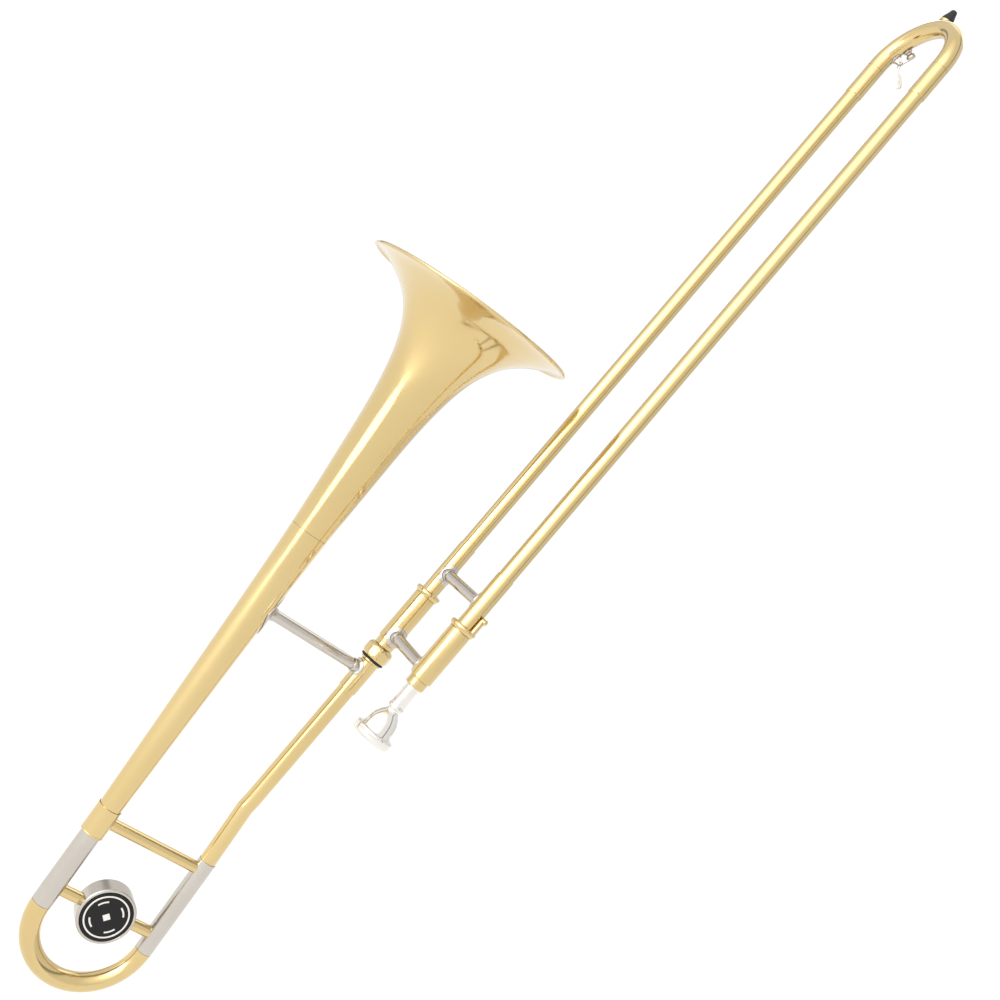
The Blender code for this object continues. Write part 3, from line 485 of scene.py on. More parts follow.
def arc(centre, from_side, to_side, radius, steps, end=math.pi):
    """Points of an arc that starts towards from_side and turns towards to_side."""
    angles = [end * i / steps for i in range(steps + 1)]
    return [centre + radius * (math.cos(a) * from_side + math.sin(a) * to_side) for a in angles]


# ---------------------------------------------------------------- places of the trombone

def sizes():
    return bpy.context.scene.trombone_sizes


def bell_side():
    return at(0, sizes().slide_spacing / 2, RING_HEIGHT)


def mouth_side():
    return at(0, -sizes().slide_spacing / 2, RING_HEIGHT)


def neck_leg():
    """The bend of the gooseneck: +Z up its leaning leg, -X towards the bell."""
    return bell_side() @ at(0, 0, BEND_HEIGHT) @ Matrix.Rotation(-NECK_BEND, 4, "Y")


def bell_axis():
    return neck_leg() @ at(-LEG_SPACING, 0, 0)


# ---------------------------------------------------------------- turned pieces

def both_sides(node, outline, look, ease):
    return {f"{node}_{place.__name__}": (outline, look, place, ease) for place in (bell_side, mouth_side)}


# node: outline of (radius, height) in millimetres, look, place, rounding of its edges in millimetres.
TURNED_FIXED_SLIDE = {
    **both_sides("cork_barrel", pipe_outline(10.5, 9.2, -55, -3.2), BRASS, 0.35),
    "barrel_ring": (
        ((8.6, 2.9), (10.9, 2.9), (12.5, 1.7), (12.5, -0.6), (11.6, -1.5), (11.3, -2.9), (8.6, -2.9)),
        BRASS, bell_side, 1.1),
    **both_sides("bumper_cork", pipe_outline(8.9, 6.9, -41.7, -33.7), "cork", 0.4),
    "inner_slide_tube_bell_side": (pipe_outline(6.6, 6.3, -57.4, 480), "hard_chrome", bell_side, 0.1),
    "inner_slide_tube_mouth_side": (pipe_outline(6.6, 6.3, -41.7, 480), "hard_chrome", mouth_side, 0.1),
    **both_sides("slide_stocking", pipe_outline(6.8, 6.3, 480.1, 600), "hard_chrome", 0.15),
    "leadpipe": (((5.95, 160), (5.95, -41.7), (5.3, -41.7), (5.6, 160)), BRASS, mouth_side, 0.1),
    "tenon_collar": (
        ((8.9, -42), (8.9, -55.2), (9.25, -55.2), (9.25, -57.2), (9.0, -57.6), (9.25, -58.0), (9.25, -61.7),
         (6.9, -61.7), (6.9, -42)), BRASS, bell_side, 0.3),
    "slide_tenon": (
        ((6.6, -57.7), (6.6, -64), (9.0, -64), (9.0, -65.4), (7.5, -65.4), (6.9, -98), (6.2, -98),
         (5.9, -57.7)),
        NICKEL, bell_side, 0.2),
    "mouthpiece_receiver": (
        ((8.9, -42), (8.9, -55.4), (8.6, -55.8), (8.9, -56.2), (8.9, -63), (7.9, -64), (6.6, -64), (6.1, -42)),
        BRASS, mouth_side, 0.5),
}
TURNED_OUTER_SLIDE = {
    **both_sides("outer_slide_tube", pipe_outline(7.45, 7.1, -33.4, 627.9), BRASS, 0.15),
    **both_sides("outer_slide_sleeve", pipe_outline(8.0, 7.5, -33.4, 56), BRASS, 0.3),
    **both_sides("bow_ferrule", ((8.05, 628), (8.05, 597.5), (7.6, 596), (7.5, 596), (7.5, 628)), BRASS, 0.25),
}
TURNED_NECK = {
    "bell_receiver": (
        ((9.2, -66), (9.2, -77.8), (10.3, -77.8), (10.3, -79.5), (8.9, -80.5), (8.9, -111.7), (8.0, -111.7),
         (8.0, -98), (7.9, -66)), BRASS, bell_side, 0.35),
    "receiver_gasket": (pipe_outline(11.6, 9.5, -77.5, -76.1), "black_rubber", bell_side, 0.4),
}
TURNED_BELL_SECTION = {
    "bell_tail_ferrule": (
        ((11.25, -62), (11.25, -87.6), (11.05, -88.0), (11.25, -88.4), (11.25, -89.5), (9.8, -89.5),
         (10.8, -62)),
        BRASS, bell_axis, 0.3),
    "tuning_leg_bell_side": (pipe_outline(9.6, 9.2, -163, -74.3), NICKEL, bell_axis, 0.15),
    "tuning_leg_neck_side": (pipe_outline(8.4, 7.9, -163, -65), NICKEL, neck_leg, 0.2),
    "tuning_inner_leg_bell_side": (pipe_outline(8.9, 8.5, -163.2, -80), NICKEL, bell_axis, 0.15),
    "tuning_inner_leg_neck_side": (pipe_outline(7.7, 7.3, -163.2, -80), NICKEL, neck_leg, 0.15),
}
NUT_OUTLINE = (
    (9.9, -62), (11.6, -63.2), (12.9, -65.8), (12.9, -71.8), (12.2, -74.6), (11.0, -76), (9.6, -76),
    (9.6, -63.7), (7.2, -63.7), (7.2, -62),
)
NUT_FLATS = 12.35 * MM


def turn_table(table):
    for node, (outline, look, place, ease) in table.items():
        thing = turned(f"{node}_piece", in_mm(outline), look, place(), ease=ease * MM)
        settle(thing, node)


class TROMBONE_OT_fixed_slide(bpy.types.Operator):
    """Barrels, corks, chromed inner tubes, leadpipe and the receiver for the mouthpiece."""

    bl_idname = "trombone.fixed_slide"
    bl_label = "Fixed half of the slide"

    def execute(self, context):
        turn_table(TURNED_FIXED_SLIDE)
        return {"FINISHED"}


class TROMBONE_OT_outer_slide(bpy.types.Operator):
    """Outer tubes with their sleeves and ferrules, the bow, and the rubber bumper on its socket."""

    bl_idname = "trombone.outer_slide"
    bl_label = "Outer slide"

    def execute(self, context):
        turn_table(TURNED_OUTER_SLIDE)
        half = context.scene.trombone_sizes.slide_spacing / 2
        foot = RING_HEIGHT + BOW_FOOT
        centre = Vector((0, 0, RING_HEIGHT + BOW_CENTRE))
        turn = arc(centre, Vector((0, 1, 0)), UP, half, BOW_STEPS)
        route = [Vector((0, half, foot)), *turn, Vector((0, -half, foot))]
        bow = swept("slide_bow_piece", route, [BOW_RADIUS] * len(route), BOW_WALL, BRASS)
        settle(bow, "slide_bow")
        top = centre.z + half + BOW_RADIUS
        socket = turned("bumper_socket_piece", in_mm(BUMPER_SOCKET), BRASS, at(0, 0, top),
                        closed=False, ease=0.5 * MM)
        settle(socket, "bumper_socket")
        bumper = turned("slide_bumper_piece", in_mm(BUMPER), "black_rubber", at(0, 0, top), closed=False,
                        ease=1.1 * MM)
        settle(bumper, "slide_bumper")
        return {"FINISHED"}


BOW_RADIUS = 8.1 * MM
BOW_WALL = 0.6 * MM
BOW_FOOT = 628.05 * MM
BOW_CENTRE = 632 * MM
BUMPER_SOCKET = ((0, 1.2), (5.6, 1.2), (6.2, 0.6), (6.2, -2.1), (4.5, -1.4), (0, -0.4))
BUMPER = (
    (0, 13), (2.2, 13), (2.9, 12.2), (3.6, 9.4), (5.1, 5.0), (5.7, 3.2), (5.7, 1.5), (0, 1.5),
)


class TROMBONE_OT_neck(bpy.types.Operator):
    """Receiver, its black gasket, the lock nut and the bent gooseneck."""

    bl_idname = "trombone.neck"
    bl_label = "Neck and lock nut"

    def execute(self, context):
        turn_table(TURNED_NECK)
        nut = turned("bell_lock_nut_piece", in_mm(NUT_OUTLINE), BRASS, bell_side(), 96, 0.6 * MM,
                     flats=NUT_FLATS)
        settle(nut, "bell_lock_nut")
        leg = neck_leg()
        half = NECK_BEND_RADIUS * math.tan(NECK_BEND / 2)
        centre = leg @ Vector((0, 0, 0)) + UP * half - Vector((NECK_BEND_RADIUS, 0, 0))
        turn = arc(centre, Vector((1, 0, 0)), -UP, NECK_BEND_RADIUS, 24, NECK_BEND)
        route = [bell_side() @ Vector((0, 0, -100 * MM)), *turn, leg @ Vector((0, 0, -64.8 * MM))]
        neck = swept("gooseneck_piece", route, [NECK_RADIUS] * len(route), 0.5 * MM, BRASS, 64)
        settle(neck, "gooseneck")
        return {"FINISHED"}


NECK_RADIUS = 7.95 * MM
NECK_BEND_RADIUS = 150 * MM

# Outer radius of the bell at distances from the bend, both in millimetres.
BELL_TAIL = ((-74, 10.2), (-20, 11.35), (60, 13.0), (105, 14.0), (150, 15.1), (200, 16.5), (229.8, 17.7))
BELL_FLARE = (
    (230.0, 17.7), (265, 19.7), (300, 22.0), (340, 24.8), (370, 28.2), (398, 33.4), (420, 40.8), (438, 51.5),
    (450, 64.5), (457.5, 77.0), (462, 87.2), (464.3, 97.2),
)
RIM_HEIGHT = 464.7 * MM
BEAD_RADIUS = 1.6 * MM


def shell_outline(outside, wall):
    """A closed outline: the outer points, then the same points moved in by the wall, back to the start."""
    inside = []
    for i, point in enumerate(outside):
        before = Vector(outside[max(i - 1, 0)])
        after = Vector(outside[min(i + 1, len(outside) - 1)])
        way = (after - before).normalized()
        inside.append((point[0] + way.y * wall, point[1] - way.x * wall))
    return [*outside, *reversed(inside)]


class TROMBONE_OT_bell(bpy.types.Operator):
    """The spun flare, the tail it is brazed to, and the rim rolled over a wire."""

    bl_idname = "trombone.bell"
    bl_label = "Bell"

    def execute(self, context):
        turn_table(TURNED_BELL_SECTION)
        wall = context.scene.trombone_sizes.bell_wall
        for node, outline, steps in (("bell_tail", BELL_TAIL, 4), ("bell_flare", BELL_FLARE, 9)):
            line = smooth_line([(radius * MM, z * MM) for z, radius in reversed(outline)], steps)
            profile = shell_outline([tuple(point) for point in line], wall)
            bell = turned(f"{node}_piece", profile, "spun_brass", bell_axis(), BELL_ROUND, 0.1 * MM)
            settle(bell, node)
        rim = context.scene.trombone_sizes.bell_diameter / 2 - BEAD_RADIUS
        turns = [2 * math.pi * i / 20 for i in range(20)]
        ring = [(rim + BEAD_RADIUS * math.cos(a), RIM_HEIGHT - BEAD_RADIUS * math.sin(a)) for a in turns]
        bead = turned("bell_rim_bead_piece", ring, BRASS, bell_axis(), BELL_ROUND, 0)
        settle(bead, "bell_rim_bead")
        return {"FINISHED"}


# ---------------------------------------------------------------- braces and flanges

def flange(name, tube_radius, brace_radius, place, half_length, half_angle, squareness=2.0):
    """A thin plate hugging a tube, rising in a fillet to a boss with a socket for the brace.

    place has its origin on the tube's centre line, +Z along the brace and +X along the tube. The outline is
    an ellipse at squareness 2 and a lozenge near 1.2.
    """
    plate, fillet = 0.9 * MM, 1.1 * MM
    seat = tube_radius + 0.02 * MM
    surface = seat + plate
    boss = brace_radius + 0.9 * MM
    top = tube_radius + sizes().brace_boss
    steps = 64
    turns = [2 * math.pi * i / steps for i in range(steps)]

    def flat(radius, height):
        return [Vector((radius * math.cos(a), radius * math.sin(a), height)) for a in turns]

    def wrapped(share, height):
        """A ring on the tube, at that share of the way from the boss to the outline."""
        ring = []
        for a in turns:
            cos_a = math.copysign(abs(math.cos(a)) ** (2 / squareness), math.cos(a))
            sin_a = math.copysign(abs(math.sin(a)) ** (2 / squareness), math.sin(a))
            inner_x = boss * math.cos(a)
            inner_turn = math.asin(max(-1, min(1, boss * math.sin(a) / surface)))
            x = inner_x + (half_length * cos_a - inner_x) * share
            turn = inner_turn + (half_angle * sin_a - inner_turn) * share
            reach = seat + height
            ring.append(Vector((x, reach * math.sin(turn), reach * math.cos(turn))))
        return ring

    socket = brace_radius + 0.05 * MM
    rings = [
        [Vector((0, 0, top - 1 * MM))],
        flat(socket, top - 1 * MM),
        flat(socket, top - 0.1 * MM),
        flat(socket + 0.1 * MM, top),
        flat(boss - 0.35 * MM, top),
        flat(boss - 0.1 * MM, top - 0.1 * MM),
        flat(boss, top - 0.35 * MM),
    ]
    for i in range(5):
        angle = math.pi / 2 * i / 4
        rings.append(wrapped(0.22 * (1 - math.cos(angle)), plate + fillet * (1 - math.sin(angle))))
    rings += [
        wrapped(0.45, plate),
        wrapped(0.9, plate),
        wrapped(0.96, 0.9 * plate),
        wrapped(0.99, 0.6 * plate),
        wrapped(1.0, 0.3 * plate),
        wrapped(1.0, 0),
        wrapped(0.0, 0),
        [Vector((0, 0, seat))],
    ]
    work = bmesh.new()
    loft(work, rings, closed=False)
    return finished(work, name, NICKEL, place)


def brace(name, start, way, span, radius, start_radius, end_radius):
    """A brace tube whose ends stand in the sockets of two flanges."""
    boss = sizes().brace_boss
    bottom = start_radius + boss - 0.8 * MM
    top = span - end_radius - boss + 0.8 * MM
    place = facing(start, way, way.orthogonal())
    outline = pipe_outline(radius, radius - 0.8 * MM, bottom, top)
    return turned(name, outline, NICKEL, place, 56)


def braced_pair(node, start, end, tube_radii, radius, along, shapes):
    """A brace between two tubes, with a flange at each end.

    shapes are (node, half length in millimetres, half angle in degrees, squareness) of the two flanges.
    """
    way = (end - start).normalized()
    settle(brace(f"{node}_piece", start, way, (end - start).length, radius, *tube_radii), node)
    for point, direction, tube_radius, axis, shape in (
        (start, way, tube_radii[0], along[0], shapes[0]),
        (end, -way, tube_radii[1], along[1], shapes[1]),
    ):
        flange_node, half_length, half_angle, squareness = shape
        thing = flange(f"{flange_node}_piece", tube_radius, radius, facing(point, direction, axis),
                       half_length * MM, math.radians(half_angle), squareness)
        settle(thing, flange_node)


HAND_BRACE_RADIUS = 5.5 * MM
OUTER_BRACE_RADIUS = 5.25 * MM
OUTER_BRACE_HEIGHT = 24.8 * MM
BELL_BRACE_RADIUS = 5.3 * MM
BELL_BRACE = 153 * MM  # along the bell from the bend
BARREL_RADIUS = 10.5 * MM
SLEEVE_RADIUS = 8.0 * MM
RECEIVER_RADIUS = 8.9 * MM
BRACED_BELL_RADIUS = 15.25 * MM
BELL_TAPER = math.radians(1.35)
LEG_BRACES = {"upper_leg_brace": (-75 * MM, 11.25 * MM), "lower_leg_brace": (-146 * MM, 9.6 * MM)}
LEG_BRACE_RADIUS = 5.5 * MM
NECK_LEG_RADIUS = 8.4 * MM


class TROMBONE_OT_braces(bpy.types.Operator):
    """The three nickel braces with their flanges, and the two brass braces between the legs."""

    bl_idname = "trombone.braces"
    bl_label = "Braces"

    def execute(self, context):
        half = context.scene.trombone_sizes.slide_spacing / 2
        for node, level, tube_radius, radius, reach in (
            ("hand_brace", 0, BARREL_RADIUS, HAND_BRACE_RADIUS, 9.5),
            ("outer_brace", RING_HEIGHT + OUTER_BRACE_HEIGHT, SLEEVE_RADIUS, OUTER_BRACE_RADIUS, 10),
        ):
            shapes = [(f"{node}_flange_{side}", reach, 62, 2.0) for side in ("bell_side", "mouth_side")]
            braced_pair(node, Vector((0, half, level)), Vector((0, -half, level)), (tube_radius, tube_radius),
                        radius, (UP, UP), shapes)
        axis = bell_axis()
        start = axis @ Vector((0, 0, BELL_BRACE))
        across = axis.to_3x3() @ Vector((1, 0, 0))
        along_bell = Matrix.Rotation(BELL_TAPER, 3, UP.cross(across)) @ (axis.to_3x3() @ UP)
        end = start + across * (LEG_SPACING + BELL_BRACE * math.tan(NECK_BEND))
        shapes = (("bell_brace_flange_bell", 23, 56, 1.25), ("bell_brace_flange_neck", 8.5, 62, 2.0))
        braced_pair("bell_brace", start, end, (BRACED_BELL_RADIUS, RECEIVER_RADIUS), BELL_BRACE_RADIUS,
                    (along_bell, UP), shapes)
        for node, (level, bell_radius) in LEG_BRACES.items():
            place = neck_leg() @ at(0, 0, level) @ Matrix.Rotation(-math.pi / 2, 4, "Y")
            settle(coped(f"{node}_piece", place, bell_radius), node)
        return {"FINISHED"}


def coped(name, place, bell_radius):
    """A brass tube between the legs, its ends filed to sit on them. The legs lie along the tube's own X."""
    steps = 48
    wall = 0.8 * MM
    turns = [2 * math.pi * i / steps for i in range(steps)]

    def ring(radius, leg_radius, from_end, extra):
        made = []
        for a in turns:
            across = radius * math.sin(a)
            reach = math.sqrt((leg_radius + 0.03 * MM) ** 2 - across ** 2) + extra
            height = LEG_SPACING - reach if from_end else reach
            made.append(Vector((radius * math.cos(a), across, height)))
        return made

    outer = LEG_BRACE_RADIUS
    rings = [
        ring(outer, NECK_LEG_RADIUS, False, 0), ring(outer, NECK_LEG_RADIUS, False, 1 * MM),
        ring(outer, bell_radius, True, 1 * MM), ring(outer, bell_radius, True, 0),
        ring(outer - wall, bell_radius, True, 0), ring(outer - wall, NECK_LEG_RADIUS, False, 0),
    ]
    work = bmesh.new()
    loft(work, rings, closed=True)
    return finished(work, name, BRASS, place)


# ---------------------------------------------------------------- tuning slide and counterweight

TUNING_WIDE = 9.5 * MM
TUNING_NARROW = 8.3 * MM


class TROMBONE_OT_tuning_slide(bpy.types.Operator):
    """The wide brass bow, tapering from the bell's leg to the neck's."""

    bl_idname = "trombone.tuning_slide"
    bl_label = "Tuning slide"

    def execute(self, context):
        leg = neck_leg()
        radius = LEG_SPACING / 2
        down = leg.to_3x3() @ Vector((0, 0, -1))
        centre = leg @ Vector((-radius, 0, -164.3 * MM))
        turn = arc(centre, leg.to_3x3() @ Vector((-1, 0, 0)), down, radius, BOW_STEPS)
        route = [turn[0] - down * 1 * MM, *turn, turn[-1] - down * 1 * MM]
        last = len(route) - 1
        radii = [TUNING_WIDE + (TUNING_NARROW - TUNING_WIDE) * i / last for i in range(len(route))]
        bow = swept("tuning_bow_piece", route, radii, 0.6 * MM, BRASS, 64)
        settle(bow, "tuning_bow")
        return {"FINISHED"}


DRUM_OUTLINE = (
    (0, 8.5), (23.6, 8.5), (23.6, 11), (25.4, 11), (26.4, 10), (26.4, -7), (24.4, -9), (0, -9),
)
CAP_OUTLINE = (
    (0, 11), (18.5, 11), (18.5, 10.2), (20.7, 10.2), (20.7, 11), (23.3, 11), (23.3, 8.8), (0, 8.8),
)
CAP_FACE = 11 * MM
DASH_RADIUS = 14.6 * MM  # of the short arcs round the middle of the cap
DASH_HALF = math.radians(19)
DASH_WIDTH = 1.5 * MM
DASH_HEIGHT = 0.05 * MM


def dash(name, middle, place):
    """A short curved inlay on the cap, for ornament."""
    steps = 14
    rings = []
    for i in range(steps + 1):
        turn = middle + DASH_HALF * (2 * i / steps - 1)
        way = Vector((math.cos(turn), math.sin(turn), 0))
        ends = [(-1, 0), (-1, 1), (1, 1), (1, 0)]
        rings.append([way * (DASH_RADIUS + side * DASH_WIDTH / 2) + UP * (CAP_FACE + DASH_HEIGHT * (2 * up - 1))
                      for side, up in ends])
    work = bmesh.new()
    first = rings[0]
    loft(work, [[sum(first, Vector()) / 4], *rings, [sum(rings[-1], Vector()) / 4]], closed=False)
    return finished(work, name, SILVER, place)


class TROMBONE_OT_counterweight(bpy.types.Operator):
    """The nickel drum with its black cap, the metal ring let into it and plain curved ornaments."""

    bl_idname = "trombone.counterweight"
    bl_label = "Counterweight"

    def execute(self, context):
        level = LEG_BRACES["lower_leg_brace"][0]
        place = neck_leg() @ at(-LEG_SPACING / 2, 0, level) @ Matrix.Rotation(math.pi / 2, 4, "X")
        drum = turned("counterweight_drum_piece", in_mm(DRUM_OUTLINE), NICKEL, place, DRUM_ROUND,
                      1.2 * MM, False)
        settle(drum, "counterweight_drum")
        cap = turned("counterweight_cap_piece", in_mm(CAP_OUTLINE), "black_plastic", place, DRUM_ROUND,
                     0.4 * MM, False)
        settle(cap, "counterweight_cap")
        ring_outline = in_mm(pipe_outline(20.4, 18.8, 10.4, 11))
        ring = turned("counterweight_ring_piece", ring_outline, SILVER, place, DRUM_ROUND, 0.15 * MM)
        settle(ring, "counterweight_cap_ring")
        marks = [dash(f"mark_{i}", math.pi / 4 + i * math.pi / 2, place) for i in range(4)]
        lozenge = in_mm(((0, 11.05), (4.2, 11.05), (4.2, 10.9), (0, 10.9)))
        marks.append(turned("mark_middle", lozenge, SILVER, place, 4, 0.01 * MM, False))
        ornaments = joined("counterweight_cap_ornaments", marks)
        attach(ornaments, BODY_OF["counterweight_cap"])
        return {"FINISHED"}


# ---------------------------------------------------------------- mouthpiece

MOUTHPIECE_SHANK = (
    (5.75, -44), (6.25, -64), (6.5, -84.3), (7.3, -85.8), (7.3, -87.4), (6.2, -88.6), (5.9, -89.6),
)
MOUTHPIECE_BODY = (
    (5.9, -89.6), (6.5, -91.6), (9.2, -95), (11.6, -99.5), (13.0, -105), (13.6, -109.6), (14.3, -112.1),
)
MOUTHPIECE_RIM = (
    (17.0, -112.5), (18.1, -113.5), (18.1, -117.6), (17.6, -119.6), (16.4, -120.8), (15.0, -121),
    (13.7, -120.4), (12.8, -119), (12.5, -117.5),
)
MOUTHPIECE_CUP = (
    (12.5, -117.5), (12.2, -113), (11.0, -106.5), (8.6, -100.5), (5.4, -96.3), (3.4, -93), (3.2, -88),
    (3.6, -75), (4.9, -44),
)


class TROMBONE_OT_mouthpiece(bpy.types.Operator):
    """The turned mouthpiece: shank, bead, bowl, rounded rim and cup."""

    bl_idname = "trombone.mouthpiece"
    bl_label = "Mouthpiece"

    def execute(self, context):
        outline = [*MOUTHPIECE_SHANK[:-1], *map(tuple, smooth_line(MOUTHPIECE_BODY, 5)),
                   *map(tuple, smooth_line(MOUTHPIECE_RIM, 3)[:-1]),
                   *map(tuple, smooth_line(MOUTHPIECE_CUP, 4))]
        thing = turned("mouthpiece_piece", in_mm(outline), SILVER, mouth_side(), 96, 0.3 * MM)
        settle(thing, "mouthpiece")
        return {"FINISHED"}


# ---------------------------------------------------------------- water key

NIPPLE_ANGLE = math.radians(39)  # round the bow from its straight end
SADDLE_ANGLE = math.radians(22)
KEY_TURN = math.radians(35)  # from +X towards the inside of the bow
PIN_HEIGHT = 12.6 * MM
POST_SPACING = 8.0 * MM
PAD_TOP = 13.7 * MM
LEVER_THICKNESS = 1.5 * MM
NIPPLE_OUTLINE = (
    (4.4, 8.0), (4.0, 9.2), (3.1, 9.9), (2.7, 10.6), (2.7, 11.3), (2.3, 11.6), (1.6, 11.6), (1.6, 7.4),
)
PAD_OUTLINE = ((0, 13.7), (3.6, 13.7), (3.6, 11.9), (0, 11.9))
CUP_OUTLINE = (
    (0, 16.2), (2.6, 16.1), (3.9, 15.4), (4.2, 14.6), (4.2, 13.0), (3.8, 13.0), (3.8, 13.9), (0, 13.9),
)
PIN_OUTLINE = ((0, 5.3), (1.2, 5.3), (1.2, 5.0), (0.8, 5.0), (0.8, -5.3), (0, -5.3))
BARREL_OUTLINE = ((1.9, 1.7), (1.9, -1.7), (1.1, -1.7), (1.1, 1.7))


def bow_frame(angle):
    """The tube's centre, its direction and the way out to the water key, at an angle round the bow."""
    outwards = Vector((0, math.cos(angle), math.sin(angle)))
    centre = Vector((0, 0, RING_HEIGHT + BOW_CENTRE)) + outwards * sizes().slide_spacing / 2
    along = Vector((0, -math.sin(angle), math.cos(angle)))
    out = Vector((math.cos(KEY_TURN), 0, 0)) - outwards * math.sin(KEY_TURN)
    return centre, along, out


def saddle_plate(name, foot, upwards, away):
    """The curved foot of the key's saddle, bent round the bow."""
    inside, outside = BOW_RADIUS + 0.15 * MM, BOW_RADIUS + 1.1 * MM
    rings = []
    for i in range(25):
        turn = math.radians(46) * (2 * i / 24 - 1)
        way = away * math.cos(turn) + upwards.cross(away) * math.sin(turn)
        # The foot is a rounded oblong, longest in its middle.
        half = 4.6 * MM * max(0.15, 1 - abs(2 * i / 24 - 1) ** 5) ** 0.5
        corners = ((inside, -half), (outside - 0.2 * MM, -half), (outside, -half + 0.3 * MM),
                   (outside, half - 0.3 * MM), (outside - 0.2 * MM, half), (inside, half))
        rings.append([foot + way * reach + upwards * rise for reach, rise in corners])
    ends = [[sum(ring, Vector()) / len(ring)] for ring in (rings[0], rings[-1])]
    work = bmesh.new()
    loft(work, [ends[0], *rings, ends[1]], closed=False)
    return finished(work, name, NICKEL)


class TROMBONE_OT_water_key(bpy.types.Operator):
    """Nipple, saddle, pin and spring on the bow, and the lever with its cup, pad and paddle."""

    bl_idname = "trombone.water_key"
    bl_label = "Water key"

    def execute(self, context):
        centre, along, out = bow_frame(NIPPLE_ANGLE)
        spout = facing(centre, out, along)
        settle(turned("water_key_nipple_piece", in_mm(NIPPLE_OUTLINE), NICKEL, spout, 48, 0.3 * MM),
               "water_key_nipple")
        settle(turned("water_key_cork_piece", in_mm(PAD_OUTLINE), "cork", spout, 48, 0.3 * MM, False),
               "water_key_cork")

        foot, upwards, away = bow_frame(SADDLE_ANGLE)
        across = upwards.cross(away)
        pin = foot + away * PIN_HEIGHT
        hinge = facing(pin, across, upwards)
        shapes = [saddle_plate("saddle_foot", foot, upwards, away)]
        for i, side in enumerate((-1, 1)):
            middle = across * side * (POST_SPACING + 1 * MM) / 2
            low = foot + away * (BOW_RADIUS + 0.3 * MM) + middle
            high = pin + away * 1.9 * MM + middle
            route = [low.lerp(high, share) for share in (0, 0.2, 0.4, 0.6, 0.75, 0.88, 0.96, 1.0)]
            widths = [width * MM for width in (6.6, 5.6, 5.0, 4.6, 4.2, 3.4, 2.2, 0.9)]
            shapes.append(strap(f"saddle_post_{i}", route, widths, 1 * MM, upwards, NICKEL))
        settle(joined("water_key_saddle_piece", shapes), "water_key_saddle")
        settle(turned("water_key_pin_piece", in_mm(PIN_OUTLINE), "spring_steel", hinge, SMALL_ROUND, 0.15 * MM,
                      False), "water_key_pin")

        cup = turned("lever_cup", in_mm(CUP_OUTLINE), NICKEL, spout, 48, 0.3 * MM, False)
        barrel = turned("lever_barrel", in_mm(BARREL_OUTLINE), NICKEL, hinge, SMALL_ROUND, 0.2 * MM)
        cup_middle = centre + out * (PAD_TOP + 1.9 * MM)
        elbow = pin - upwards * 5.0 * MM + away * 3.6 * MM
        tip = pin - upwards * 13.7 * MM + away * 15.0 * MM
        way = (tip - elbow).normalized()
        route = smooth_line([cup_middle, pin + away * 1.7 * MM, elbow, elbow.lerp(tip, 0.38)], 5)
        arm = strap("lever_arm", route, [3.3 * MM] * len(route), LEVER_THICKNESS, across, NICKEL)
        shares = (0.24, 0.3, 0.38, 0.48, 0.6, 0.72, 0.84, 0.94, 1.0)
        leaf = [elbow.lerp(tip, share) for share in shares]
        leaf += [tip + way * reach * MM for reach in (0.9, 1.7, 2.3, 2.7)]
        widths = [width * MM for width in (2.0, 3.4, 4.4, 5.0, 5.3, 5.5, 5.6, 5.6, 5.5, 5.1, 4.3, 3.0, 1.2)]
        paddle = strap("lever_paddle", leaf, widths, LEVER_THICKNESS, across.cross(way), NICKEL)
        settle(joined("water_key_lever_piece", [arm, paddle, cup, barrel]), "water_key_lever")

        settle(key_spring(hinge), "water_key_spring")
        return {"FINISHED"}


def key_spring(hinge):
    """A coil on the pin, one foot on the saddle and the other under the lever's tail."""
    wire, radius = 0.25 * MM, 1.5 * MM
    start, end = 2.25 * MM, POST_SPACING / 2 - 0.55 * MM
    steps = 64
    coil = []
    for i in range(steps + 1):
        turn = -math.pi / 2 - 4 * math.pi * i / steps
        height = start + (end - start) * i / steps
        coil.append(Vector((radius * math.cos(turn), radius * math.sin(turn), height)))
    foot = coil[0] + Vector((3.2, -0.6, 0)) * MM
    elbow = Vector((-4.2 * MM, 1.2 * MM, end))
    route = [foot, *coil, elbow, elbow - UP * end * 0.1, elbow - UP * end]
    return swept("water_key_spring_piece", route, [wire] * len(route), None, "spring_steel", 12, hinge)


# ---------------------------------------------------------------- slide lock

LOCK_ANGLE = math.radians(-60)
HOOK_TURN = math.radians(41)
ARM_RADIUS = 10.6 * MM
ARM_TOP = 18 * MM
LUG_ANGLE = math.radians(-4)
LUG_HEIGHT = 11.6 * MM


